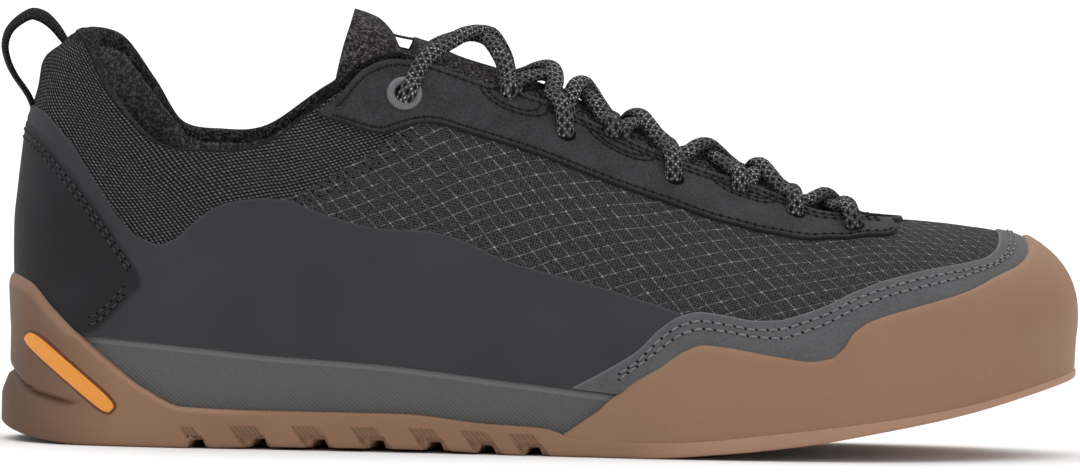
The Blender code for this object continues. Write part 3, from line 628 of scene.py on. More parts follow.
def cloth_place(points, station):
    """Place on the cloth: round the heel and along the shoe, and up its wall and on over its top, in metres.

    Round the heel the first runs on by the length of the feather line. On the forefoot the second is scaled
    by the wall's usual slope, so that the cords lie as far apart on the cloth as they should.
    """
    share = side_share(station)
    table = np.linspace(0, 0.30, 200)
    line = feather_at(table)
    gone = np.append(0, np.linalg.norm(np.diff(line, axis=0), axis=-1) - np.diff(line[:, 0]))
    run = np.cumsum(gone * (1 - 0.6 * smooth(0.03, 0.08, table)))
    turned = np.interp(share, table, run - run[-1])
    whole = np.linspace(0, 1, 300)
    wide = np.interp(share, whole, np.abs(feather_at(whole)[:, 1]))
    forward = smooth(0.30, 0.50, share)
    half = wide * (1 - forward) + 0.044 * forward
    up_wall = points[..., 2] + half - np.abs(points[..., 1]) - 0.050
    scale = 1 - 0.22 * forward + 0.20 * smooth(0.74, 0.88, share)
    return np.stack([points[..., 0] + turned, up_wall * scale], axis=-1)


# Meshes


def grid_quads(runs, rows, first=0, ring=False):
    """Quads of a grid numbered row by row within each run; ring joins the last run to the first."""
    run = np.arange(runs if ring else runs - 1)[:, None]
    row = np.arange(rows - 1)[None, :]
    here, there = first + run * rows + row, first + (run + 1) % runs * rows + row
    return np.stack([here, there, there + 1, here + 1], axis=-1).reshape(-1, 4)


def piece(name, points, faces, materials, place=None, marks=None, which=None, edge_angle=40):
    """One finished object on the root body, from points and faces.

    place is its UV map in metres, by point; marks are further values by point for its material, and which
    is the material of each face.
    """
    points = np.asarray(points, float).reshape(-1, 3)
    mesh = bpy.data.meshes.new(name)
    mesh.from_pydata(points.tolist(), [], faces.tolist() if isinstance(faces, np.ndarray) else faces)
    for material in materials if isinstance(materials, (list, tuple)) else [materials]:
        mesh.materials.append(material)
    if which is not None:
        mesh.polygons.foreach_set("material_index", np.asarray(which, np.int32))
    if place is not None:
        corner = np.zeros(len(mesh.loops), np.int32)
        mesh.loops.foreach_get("vertex_index", corner)
        layer = mesh.uv_layers.new(name="cloth")
        layer.data.foreach_set("uv", np.asarray(place, np.float32).reshape(-1, 2)[corner].ravel())
    for mark, values in (marks or {}).items():
        attribute = mesh.attributes.new(mark, "FLOAT", "POINT")
        attribute.data.foreach_set("value", np.asarray(values, np.float32).ravel())
    mesh.update()
    mesh.shade_smooth()
    mesh.set_sharp_from_angle(angle=math.radians(edge_angle))
    obj = bpy.data.objects.new(name, mesh)
    bpy.context.scene.collection.objects.link(obj)
    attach(obj, "root")
    return obj


def ring_quads(runs, rows):
    """Quads of a ring of closed loops: its grid, and one more from each loop's last row to its first."""
    run = np.arange(runs) * rows
    ahead = np.roll(run, -1)
    last = np.stack([run, run + rows - 1, ahead + rows - 1, ahead], axis=-1)
    return np.concatenate([grid_quads(runs, rows, 0, True), last])


def slab(outer, inner):
    """Points and quads of a closed solid between two grids of the same size."""
    runs, rows = outer.shape[:2]
    size = runs * rows
    faces = [grid_quads(runs, rows), grid_quads(runs, rows, size)[:, ::-1]]
    for row, turn in ((0, 1), (rows - 1, -1)):
        here = np.arange(runs - 1) * rows + row
        faces.append(np.stack([here, here + size, here + rows + size, here + rows], axis=-1)[:, ::turn])
    for end, turn in ((0, -1), (runs - 1, 1)):
        here = end * rows + np.arange(rows - 1)
        faces.append(np.stack([here, here + size, here + 1 + size, here + 1], axis=-1)[:, ::turn])
    return np.concatenate([outer.reshape(-1, 3), inner.reshape(-1, 3)]), np.concatenate(faces)


def joined(points, faces):
    """Faces with points at one place made one, so that a quad at a pointed end is a triangle, or goes."""
    _, first, same = np.unique(np.round(points, 8), axis=0, return_index=True, return_inverse=True)
    closed = [list(dict.fromkeys(face)) for face in first[same.ravel()][faces].tolist()]
    return [face for face in closed if len(face) > 2]


def dome(rings, first=0):
    """Points and faces of a closed low dome: rings of a grid from its foot up, the last a single point."""
    runs, rows = rings.shape[0], rings.shape[1] - 1
    foot, top = first + np.arange(runs) * rows, first + runs * rows
    faces = grid_quads(runs, rows, first, True).tolist()
    edge = (foot + rows - 1).tolist()
    faces += [[here, there, top] for here, there in zip(edge, edge[1:] + edge[:1])]
    faces.append(foot[::-1].tolist())
    return np.concatenate([rings[:, :-1].reshape(-1, 3), rings[:1, -1]]), faces


def overlay(
    name, first, last, count, low, high, rows, thick, material, base=0.0, rim=0.0007, feather=0.0
):
    """A layer on the skin between two borders given as climbs by station, its outline rounded over a rim.

    The thickness at a point is that of a quarter circle of the distance to the nearest border, over the
    rim's width; feather thins the layer further towards its upper border over that distance.
    """
    ends = RIM_STEPS / STATION_LENGTH
    between = np.linspace(first + 1.6 * ends[-1], last - 1.6 * ends[-1], count)
    stations = np.concatenate([first + ends, between, last - ends[::-1]])
    bottom, top = low(stations), high(stations)
    span = np.linalg.norm(bare_skin(stations, top) - bare_skin(stations, bottom), axis=-1)
    span = np.maximum(span, 0.0004)[:, None]
    steps = np.minimum(RIM_STEPS[None, :] / span, 0.3)
    middle = steps[:, -1:] + (1 - 2 * steps[:, -1:]) * np.linspace(0, 1, rows)[None, 1:-1]
    part = np.concatenate([steps, middle, 1 - steps[:, ::-1]], axis=1)
    climb = bottom[:, None] + (top - bottom)[:, None] * part
    from_end = np.minimum(stations - first, last - stations)[:, None] * STATION_LENGTH
    border = np.minimum(np.minimum(part * span, (1 - part) * span), from_end)
    near = np.clip(border / rim, 0, 1)
    depth = thick * np.sqrt(1 - (1 - near) ** 2)
    if feather:
        depth = depth * (0.78 + 0.22 * smooth(0, feather, (1 - part) * span))
    place = stations[:, None]
    outer = skin(place, climb, base + depth)
    inner = skin(place, climb, base - 0.0003 + 0 * depth)
    points, faces = slab(outer, inner)
    cloth = np.concatenate([cloth_place(outer, place).reshape(-1, 2)] * 2)
    marks = {"border": np.concatenate([border.ravel()] * 2)}
    return piece(name, points, joined(points, faces), material, cloth, marks)


def border_path(low, high, first, last, inset, count=700):
    """Stations and climbs of a line that keeps a distance below the upper border, or above the lower one."""
    stations = np.linspace(first, last, count)
    bottom, top = low(stations), high(stations)
    span = np.linalg.norm(bare_skin(stations, top) - bare_skin(stations, bottom), axis=-1)
    share = np.abs(inset) / np.maximum(span, 1e-4)
    start, way = (top, bottom - top) if inset > 0 else (bottom, top - bottom)
    return stations, start + way * np.minimum(share, 0.5)


def seam(
    name,
    stations,
    climbs,
    depth,
    thread,
    hole_shade,
    pitch=0.0031,
    length=0.0023,
    radius=0.00030,
    hole=(0.00050, 0.00030),
):
    """A row of stitches: short threads that rise out of one needle hole and sink into the next.

    A stitch is a six-sided rod bowed as a parabola and thinner at its ends; a needle hole is a flat oval of
    painted shade.
    pitch, length, radius and hole, its half length and half width, are in metres.
    """
    line = skin(stations, climbs, depth)
    run = np.append(0, np.cumsum(np.linalg.norm(np.diff(line, axis=0), axis=-1)))
    count = int(run[-1] / pitch)
    centre = (np.arange(count) + 0.5) * pitch
    sides = 6
    turn = 2 * math.pi * np.arange(sides) / sides
    bow = np.linspace(-1, 1, 6)
    at = centre[:, None] + 0.5 * length * bow[None, :]
    s, c = np.interp(at, run, stations), np.interp(at, run, climbs)
    lift = radius * (1.5 * (1 - bow**2) - 0.7)[None, :]
    core = skin(s, c, depth + lift)
    normal = skin_normal(s, c)
    side = unit(np.cross(core[:, -1] - core[:, 0], normal[:, 0]))[:, None, :]
    thick = (radius * np.sqrt(1.02 - bow**2 * 0.85))[None, :, None, None]
    spoke = np.cos(turn)[:, None] * normal[:, :, None, :] + np.sin(turn)[:, None] * side[:, :, None, :]
    points = core[:, :, None, :] + thick * spoke
    ring, size = np.arange(sides), sides * len(bow)
    quad = np.stack([ring, (ring + 1) % sides, (ring + 1) % sides + sides, ring + sides], axis=-1)
    rod = (quad[None] + sides * np.arange(len(bow) - 1)[:, None, None]).reshape(-1, 4)
    faces = (rod[None] + size * np.arange(count)[:, None, None]).reshape(-1, 4).tolist()
    caps = np.stack([ring[::-1], size - sides + ring])
    faces += (caps[None] + size * np.arange(count)[:, None, None]).reshape(-1, sides).tolist()
    piece(name, points, faces, thread)
    # Flat near-black ovals at the needle holes: painted shade
    at = np.arange(count + 1) * pitch
    s, c = np.interp(at, run, stations), np.interp(at, run, climbs)
    heart, normal = skin(s, c, depth + 0.00004), skin_normal(s, c)
    ahead = unit(np.cross(normal, unit(np.gradient(heart, axis=0))))
    second = np.cross(normal, ahead)
    turn = 2 * math.pi * np.arange(8) / 8
    first, across = unit(ahead + 0.6 * second), unit(second - 0.6 * ahead)
    disc = heart[:, None, :] + hole[0] * np.cos(turn)[:, None] * first[:, None, :]
    disc = disc + hole[1] * np.sin(turn)[:, None] * across[:, None, :]
    piece(name + "_holes", disc, np.arange(8 * (count + 1)).reshape(-1, 8), hole_shade)


def tube(name, path, hint, width, height, material, sides=24, swell=None):
    """An oval tube along a path; hint is the direction of its height at each point of the path.

    swell gives a further share of its size by the turn and the length. Its place for a material is the share
    of a turn from its top and the length along it.
    """
    run = unit(np.gradient(path, axis=0))
    second = unit(np.cross(run, hint))
    first = unit(np.cross(second, run))
    turn = 2 * math.pi * np.arange(sides) / sides
    along_path = np.append(0, np.cumsum(np.linalg.norm(np.diff(path, axis=0), axis=-1)))
    grown = 1 + (0 if swell is None else swell(turn[None, :], along_path[:, None]))
    oval = 0.5 * width * np.sin(turn)[None, :, None] * second[:, None, :]
    oval = oval + 0.5 * height * np.cos(turn)[None, :, None] * first[:, None, :]
    points = path[:, None, :] + oval * (np.zeros((len(path), sides)) + grown)[..., None]
    wrap = np.arange(len(path) - 1) * sides
    wrap = np.stack([wrap + sides - 1, wrap + 2 * sides - 1, wrap + sides, wrap], axis=-1)
    faces = np.concatenate([grid_quads(len(path), sides), wrap])[:, ::-1].tolist()
    faces += [list(range(sides))[::-1], list(range((len(path) - 1) * sides, len(path) * sides))]
    from_top = 0.5 - np.abs(0.5 - turn / (2 * math.pi))
    place = np.stack(np.broadcast_arrays(from_top[None, :], along_path[:, None]), axis=-1)
    return piece(name, points, faces, material, place, edge_angle=70)


def spline(points, spacing):
    """A smooth curve through points: a cubic in each stretch, and a sample about every spacing."""
    points = np.asarray(points, float)
    gap = np.linalg.norm(np.diff(points[:, :3], axis=0), axis=-1)
    knots = np.append(0, np.cumsum(gap))
    slope = np.gradient(points, knots, axis=0)
    at = np.linspace(0, knots[-1], max(int(knots[-1] / spacing), 8))
    low = np.clip(np.searchsorted(knots, at, side="right") - 1, 0, len(gap) - 1)
    share = ((at - knots[low]) / gap[low])[:, None]
    wide = gap[low][:, None]
    return hermite(points[low], points[low + 1], slope[low] * wide, slope[low + 1] * wide, share)


# Materials


def linear(code):
    """An sRGB hex colour as linear red, green, blue and alpha."""
    parts = [int(code[at : at + 2], 16) / 255 for at in (1, 3, 5)]
    return (*[part / 12.92 if part <= 0.04045 else ((part + 0.055) / 1.055) ** 2.4 for part in parts], 1.0)


class Finish:
    """One procedural material: its node tree and its shader, whose sockets take the settings."""

    def __init__(self, name, colour, roughness, **settings):
        self.material = bpy.data.materials.new(name)
        self.material.use_nodes = True
        self.tree = self.material.node_tree
        self.shader = self.tree.nodes["Principled BSDF"]
        self.shader.inputs["Base Color"].default_value = linear(colour)
        self.shader.inputs["Roughness"].default_value = roughness
        for key, value in settings.items():
            socket = key.replace("_", " ").title().replace("Ior", "IOR")
            self.shader.inputs[socket].default_value = value
        solid, to_mm = self.node("TexCoord", out=3), (1000.0, 1000.0, 1000.0)
        self.solid_mm = self.node("VectorMath", {0: solid, 1: to_mm}, operation="MULTIPLY")
        cloth = self.node("UVMap")
        self.cloth_mm = self.node("VectorMath", {0: cloth, 1: to_mm}, operation="MULTIPLY")

    def node(self, kind, inputs=(), out=0, **settings):
        """Adds a node with its settings, and gives an output of it.

        inputs are values, hex colours or links by socket. A mix of numbers has them in 0, 2 and 3, and one
        of colours in 0, 6 and 7. A map range has its value in 0, the old range in 1 and 2, and the new one,
        if it isn't 0 to 1, in 3 and 4.
        """
        node = self.tree.nodes.new("ShaderNode" + kind)
        for key, value in settings.items():
            setattr(node, key, value)
        for key, value in dict(inputs).items():
            if isinstance(value, bpy.types.NodeSocket):
                self.tree.links.new(value, node.inputs[key])
            else:
                node.inputs[key].default_value = linear(value) if isinstance(value, str) else value
        return node.outputs[out]

    def show(self, colour, height=None, relief=0.0, roughness=None):
        """Links the colour, the roughness and a relief, in metres for a height of 1; gives the material."""
        self.tree.links.new(colour, self.shader.inputs["Base Color"])
        if roughness is not None:
            self.tree.links.new(roughness, self.shader.inputs["Roughness"])
        if height is not None:
            normal = self.node("Bump", {"Height": height, "Distance": relief, "Strength": 1.0})
            self.tree.links.new(normal, self.shader.inputs["Normal"])
        return self.material

    def cords(self, place, degrees, pitch, width, soft):
        """1 on parallel cords and 0 between: a smooth step of the distance to the nearest cord, in mm.

        The degrees are those of the cords' normal, from the first direction of the place to its second.
        """
        angle = math.radians(degrees)
        normal = (math.cos(angle), math.sin(angle), 0.0)
        dot = self.node("VectorMath", {0: place, 1: normal}, 1, operation="DOT_PRODUCT")
        away = self.node("Math", {0: dot, 1: pitch / 2}, operation="PINGPONG")
        ends = {0: away, 1: width / 2 + soft, 2: width / 2, 3: 0.0, 4: 1.0}
        return self.node("MapRange", ends, interpolation_type="SMOOTHSTEP")

    def wander(self, place, scale, reach):
        """The place moved by a slow noise, so that a weave isn't ruled with a ruler."""
        noise = self.node("TexNoise", {"Vector": place, "Scale": scale, "Detail": 1.0}, 1)
        centred = self.node("VectorMath", {0: noise, 1: (0.5, 0.5, 0.5)}, operation="SUBTRACT")
        moved = self.node("VectorMath", {0: centred, "Scale": reach}, operation="SCALE")
        return self.node("VectorMath", {0: place, 1: moved}, operation="ADD")


def spacer_mesh():
    """Spacer mesh of knitted polyester: black, with a grey loop about each millimetre of a slanted lattice.

    The eye sees a dark open ground with rows of matt grey dots, uneven as the yarn catches the light.
    Towards the heel the steep rows show more, towards the throat the level ones.
    """
    f = Finish("spacer_mesh", "#1d1d1e", 0.9, specular_ior_level=0.1)
    place = f.wander(f.cloth_mm, 0.05, 2.2)
    wales = f.cords(place, 37, 1.12, 0.16, 0.36)
    courses = f.cords(place, 105, 1.0, 0.16, 0.34)
    loops = f.node("Math", {0: wales, 1: courses}, operation="MULTIPLY")
    yarn = f.node("TexNoise", {"Vector": f.cloth_mm, "Scale": 0.85, "Detail": 3.0, "Roughness": 0.6})
    light = f.node("MapRange", {0: yarn, 1: 0.36, 2: 0.64, 3: 0.25, 4: 1.0})
    bright = f.node("Math", {0: loops, 1: light}, operation="MULTIPLY")
    along_shoe = f.node("SeparateXYZ", {0: f.solid_mm})
    front = f.node("MapRange", {0: along_shoe, 1: -100.0, 2: -78.0, 3: 0.1, 4: 0.9})
    rows = f.node("Mix", {0: front, 2: wales, 3: courses})
    ground = f.node("Mix", {0: rows, 6: "#0c0c0d", 7: "#303031"}, 2, data_type="RGBA")
    colour = f.node("Mix", {0: bright, 6: ground, 7: "#868686"}, 2, data_type="RGBA")
    return f.show(colour, loops, 0.0003)


def ripstop_cloth():
    """Ripstop nylon: a charcoal plain weave on the bias, with a light cord about every 3 mm each way.

    The cords stand proud and look dashed, with a bright knot where two cross, over a speckled dark ground.
    """
    f = Finish("ripstop_cloth", "#3b3b3b", 0.85, specular_ior_level=0.1)
    place = f.wander(f.cloth_mm, 0.06, 1.8)
    rising = f.cords(place, 109.5, 4.35, 0.16, 0.20)
    falling = f.cords(place, 37.5, 3.75, 0.16, 0.20)
    cord = f.node("Math", {0: rising, 1: falling}, operation="MAXIMUM")
    knot = f.node("Math", {0: rising, 1: falling}, operation="MULTIPLY")
    speck = f.node("TexNoise", {"Vector": f.cloth_mm, "Scale": 1.25, "Detail": 3.0, "Roughness": 0.75})
    warp = f.cords(place, 75, 0.78, 0.1, 0.29)
    weft = f.cords(place, 166, 0.78, 0.1, 0.29)
    weave = f.node("Math", {0: warp, 1: weft}, operation="MULTIPLY")
    most = f.node("Math", {0: speck, 1: 0.75}, operation="MULTIPLY")
    rest = f.node("Math", {0: weave, 1: 0.25}, operation="MULTIPLY")
    mixed = f.node("Math", {0: most, 1: rest}, operation="ADD")
    grain = f.node("MapRange", {0: mixed, 1: 0.30, 2: 0.58})
    ground = f.node("Mix", {0: grain, 6: "#121213", 7: "#494a4b"}, 2, data_type="RGBA")
    patch = f.node("TexNoise", {"Vector": f.cloth_mm, "Scale": 0.7, "Detail": 2.0})
    dash = f.node("MapRange", {0: patch, 1: 0.40, 2: 0.60, 3: 0.15, 4: 1.0})
    thread = f.node("Mix", {0: knot, 6: "#70706e", 7: "#b4b4ae"}, 2, data_type="RGBA")
    share = f.node("Math", {0: cord, 1: dash}, operation="MULTIPLY")
    colour = f.node("Mix", {0: share, 6: ground, 7: thread}, 2, data_type="RGBA")
    low_weave = f.node("Math", {0: weave, 1: 0.35}, operation="MULTIPLY")
    height = f.node("Math", {0: cord, 1: low_weave}, operation="MAXIMUM")
    return f.show(colour, height, 0.00028)


def brushed_knit(name, dark, light):
    """Brushed polyester knit, as a collar's lining: short looped pile, a soft dark with paler flecks."""
    f = Finish(name, dark, 0.95, specular_ior_level=0.05)
    fine = f.node("TexNoise", {"Vector": f.solid_mm, "Scale": 1.15, "Detail": 3.0, "Roughness": 0.7})
    patch = f.node("TexNoise", {"Vector": f.solid_mm, "Scale": 0.3, "Detail": 1.0})
    tips = f.node("MapRange", {0: fine, 1: 0.46, 2: 0.68})
    wear_and_highlight = f.node("MapRange", {0: patch, 1: 0.35, 2: 0.65, 3: 0.7, 4: 1.0})
    fleck = f.node("Math", {0: tips, 1: wear_and_highlight}, operation="MULTIPLY")
    colour = f.node("Mix", {0: fleck, 6: dark, 7: light}, 2, data_type="RGBA")
    return f.show(colour, fine, 0.0006)


def welded_film(name, dark, light, edge, roughness):
    """Thermoplastic polyurethane film, heat-pressed on: smooth, matt to satin, with a faint pressed grain.

    Its cut edge catches the light as a thin paler line, from the piece's own distance to its border.
    """
    f = Finish(name, dark, roughness, specular_ior_level=0.18)
    fine = f.node("TexNoise", {"Vector": f.solid_mm, "Scale": 1.4, "Detail": 3.0, "Roughness": 0.6})
    broad = f.node("TexNoise", {"Vector": f.solid_mm, "Scale": 0.045, "Detail": 2.0})
    cloud = f.node("MapRange", {0: broad, 1: 0.35, 2: 0.65})
    body = f.node("Mix", {0: cloud, 6: dark, 7: light}, 2, data_type="RGBA")
    border = f.node("Attribute", out=2, attribute_name="border")
    rim = f.node("MapRange", {0: border, 1: 0.0001, 2: 0.0008, 3: 0.6, 4: 0.0})
    colour = f.node("Mix", {0: rim, 6: body, 7: edge}, 2, data_type="RGBA")
    gloss = f.node("MapRange", {0: fine, 1: 0.35, 2: 0.65, 3: roughness - 0.05, 4: roughness + 0.07})
    return f.show(colour, fine, 0.00008, gloss)


def sueded_microfibre(name, dark, light, edge):
    """Sueded microfibre: a short brushed nap, matt, with a fine grain and faint clouds, and a band of the
    edge colour along its border.
    """
    f = Finish(name, dark, 0.9, specular_ior_level=0.1, sheen_weight=0.08, sheen_roughness=0.5)
    cloud = f.node("TexNoise", {"Vector": f.solid_mm, "Scale": 0.11, "Detail": 2.0})
    nap = f.node("TexNoise", {"Vector": f.solid_mm, "Scale": 1.5, "Detail": 3.0, "Roughness": 0.75})
    patch = f.node("Mix", {0: 0.72, 2: cloud, 3: nap})
    tone = f.node("MapRange", {0: patch, 1: 0.38, 2: 0.62})
    body = f.node("Mix", {0: tone, 6: dark, 7: light}, 2, data_type="RGBA")
    # The edge colour along the border: on the lace facing it is near-black, a painted shade
    border = f.node("Attribute", out=2, attribute_name="border")
    rim = f.node("MapRange", {0: border, 1: 0.0002, 2: 0.0009, 3: 0.8, 4: 0.0})
    colour = f.node("Mix", {0: rim, 6: body, 7: edge}, 2, data_type="RGBA")
    return f.show(colour, nap, 0.00018)


def gum_rubber():
    """Natural gum rubber, compression moulded: warm brown and satin, with a faint bloom and small specks.

    Towards the low back of the heel it is darker, from the place on the shoe: painted shade. Where the
    piece's own marks say so, its edges get a paler painted highlight and slanted ribs are cut into it, the
    cuts darkened with painted shade.
    """
    f = Finish("gum_rubber", "#94735f", 0.6, specular_ior_level=0.25)
    broad = f.node("TexNoise", {"Vector": f.solid_mm, "Scale": 0.03, "Detail": 3.0})
    fine = f.node("TexNoise", {"Vector": f.solid_mm, "Scale": 2.0, "Detail": 3.0, "Roughness": 0.6})
    grit = f.node("TexNoise", {"Vector": f.solid_mm, "Scale": 0.9, "Detail": 2.0})
    speck = f.node("MapRange", {0: grit, 1: 0.68, 2: 0.73, 3: 0.0, 4: 0.2})
    bloom = f.node("MapRange", {0: broad, 1: 0.3, 2: 0.7})
    body = f.node("Mix", {0: bloom, 6: "#8d6c55", 7: "#95735b"}, 2, data_type="RGBA")
    flecked = f.node("Mix", {0: speck, 6: body, 7: "#b39581"}, 2, data_type="RGBA")
    # Painted shade: the colour darkens towards the low back of the heel, from the place on the shoe
    along_shoe = f.node("SeparateXYZ", {0: f.solid_mm})
    above_floor = f.node("SeparateXYZ", {0: f.solid_mm}, 2)
    behind = f.node("MapRange", {0: along_shoe, 1: -116.0, 2: -150.0, 3: 0.0, 4: 0.9})
    low = f.node("MapRange", {0: above_floor, 1: 42.0, 2: 22.0, 3: 0.8, 4: 1.0})
    back = f.node("Math", {0: behind, 1: low}, operation="MULTIPLY")
    dark = f.node("Mix", {0: back, 6: flecked, 7: "#4c372b"}, 2, data_type="RGBA")
    # Painted highlight: paler where the piece's mark says, on its low forefoot edge and the clip's top bevel
    edges = f.node("Attribute", out=2, attribute_name="edge_highlight")
    edge_highlight = f.node("Math", {0: edges, 1: 0.6}, operation="MULTIPLY")
    wear_and_highlight = f.node("Mix", {0: edge_highlight, 6: dark, 7: "#b59079"}, 2, data_type="RGBA")
    upright = f.node("CombineXYZ", {0: along_shoe, 1: above_floor})
    between = f.cords(upright, 38, 1.08, 0.25, 0.29)
    ribs = f.node("Math", {0: between, 1: -1.0, 2: 1.0}, operation="MULTIPLY_ADD")
    ribbed = f.node("Attribute", out=2, attribute_name="ribs")
    cut = f.node("Math", {0: ribs, 1: ribbed}, operation="MULTIPLY")
    # The cuts between the ribs are darkened: painted shade
    shade = f.node("Math", {0: cut, 1: 0.2}, operation="MULTIPLY")
    colour = f.node("Mix", {0: shade, 6: wear_and_highlight, 7: "#5b4335"}, 2, data_type="RGBA")
    depth = f.node("Math", {0: cut, 1: -0.7}, operation="MULTIPLY")
    height = f.node("Math", {0: fine, 1: 0.1, 2: depth}, operation="MULTIPLY_ADD")
    gloss = f.node("MapRange", {0: broad, 1: 0.3, 2: 0.7, 3: 0.54, 4: 0.66})
    return f.show(colour, height, 0.0006, gloss)


def moulded_foam():
    """EVA foam, compression moulded: matt grey with a fine skin, slanted hatching cut into its mould, and a
    painted highlight on its top edge.
    """
    f = Finish("moulded_foam", "#555555", 0.8, specular_ior_level=0.25)
    hatch = f.cords(f.cloth_mm, 50, 0.91, 0.15, 0.26)
    fine = f.node("TexNoise", {"Vector": f.solid_mm, "Scale": 1.8, "Detail": 3.0})
    body = f.node("Mix", {0: fine, 6: "#535353", 7: "#626262"}, 2, data_type="RGBA")
    down = f.node("Attribute", out=2, attribute_name="border")
    below = f.node("MapRange", {0: down, 1: 0.0020, 2: 0.0023, 3: 0.0, 4: 1.0})
    cut = f.node("Math", {0: hatch, 1: below}, operation="MULTIPLY")
    # Painted highlight: a paler band down the rolled top edge, above the hatching
    band = f.node("Mix", {0: below, 6: "#727272", 7: body}, 2, data_type="RGBA")
    shade = f.node("Math", {0: cut, 1: 0.2}, operation="MULTIPLY")
    colour = f.node("Mix", {0: shade, 6: band, 7: "#6c6c6c"}, 2, data_type="RGBA")
    return f.show(colour, cut, 0.0001)


def braided_lace():
    """Braided polyester lace: grey flecks on a fine slanted lattice, and longer black ones on a coarser one.

    The eye sees a charcoal cord, speckled pale and black where the strands of its braid come up in turn.
    """
    f = Finish("braided_lace", "#2a2a2b", 0.85, specular_ior_level=0.2)
    fine = f.node("TexNoise", {"Vector": f.solid_mm, "Scale": 1.3, "Detail": 3.0, "Roughness": 0.7})
    crossed = []
    for pitch, width, soft in ((1.3, 0.30, 0.32), (2.6, 1.0, 0.35)):
        left = f.cords(f.cloth_mm, 89.291, pitch, width, soft)
        right = f.cords(f.cloth_mm, 90.709, pitch, width, soft)
        crossed.append(f.node("Math", {0: left, 1: right}, operation="MULTIPLY"))
    dots, coarse = crossed
    rows = f.cords(f.cloth_mm, 0, 105, 36, 22)
    dashes = f.node("Math", {0: coarse, 1: rows}, operation="MULTIPLY")
    slow = f.node("TexNoise", {"Vector": f.solid_mm, "Scale": 0.16, "Detail": 1.0})
    patch = f.node("MapRange", {0: slow, 1: 0.38, 2: 0.60, 3: 0.35, 4: 1.0})
    bright = f.node("MapRange", {0: fine, 1: 0.40, 2: 0.58, 3: 0.15, 4: 1.0})
    broken = f.node("Math", {0: bright, 1: patch}, operation="MULTIPLY")
    lit = f.node("Math", {0: dots, 1: broken}, operation="MULTIPLY")
    tone = f.node("MapRange", {0: fine, 1: 0.35, 2: 0.65})
    body = f.node("Mix", {0: tone, 6: "#1d1d1e", 7: "#4e4e50"}, 2, data_type="RGBA")
    pale = f.node("Mix", {0: lit, 6: body, 7: "#d0d0cd"}, 2, data_type="RGBA")
    colour = f.node("Mix", {0: dashes, 6: pale, 7: "#060606"}, 2, data_type="RGBA")
    height = f.node("Math", {0: dots, 1: dashes}, operation="SUBTRACT")
    return f.show(colour, height, 0.00035)


def woven_tape():
    """Woven polyester tape: black, with ribs across it about a millimetre apart that catch small glints."""
    f = Finish("woven_tape", "#121213", 0.85, specular_ior_level=0.12)
    ribs = f.cords(f.cloth_mm, 90, 0.9, 0.1, 0.34)
    fine = f.node("TexNoise", {"Vector": f.solid_mm, "Scale": 1.3, "Detail": 3.0})
    tips = f.node("MapRange", {0: fine, 1: 0.42, 2: 0.66})
    glint = f.node("Math", {0: ribs, 1: tips}, operation="MULTIPLY")
    colour = f.node("Mix", {0: glint, 6: "#080809", 7: "#343436"}, 2, data_type="RGBA")
    return f.show(colour, ribs, 0.0003)


def even_finish(name, dark, light, roughness, **settings):
    """Moulded, printed or spun finish of one colour: nearly even, with a faint grain in its colour."""
    f = Finish(name, dark, roughness, **settings)
    fine = f.node("TexNoise", {"Vector": f.solid_mm, "Scale": 2.0, "Detail": 3.0})
    grain = f.node("MapRange", {0: fine, 1: 0.35, 2: 0.65})
    colour = f.node("Mix", {0: grain, 6: dark, 7: light}, 2, data_type="RGBA")
    return f.show(colour, fine, 0.00005)


# Pieces


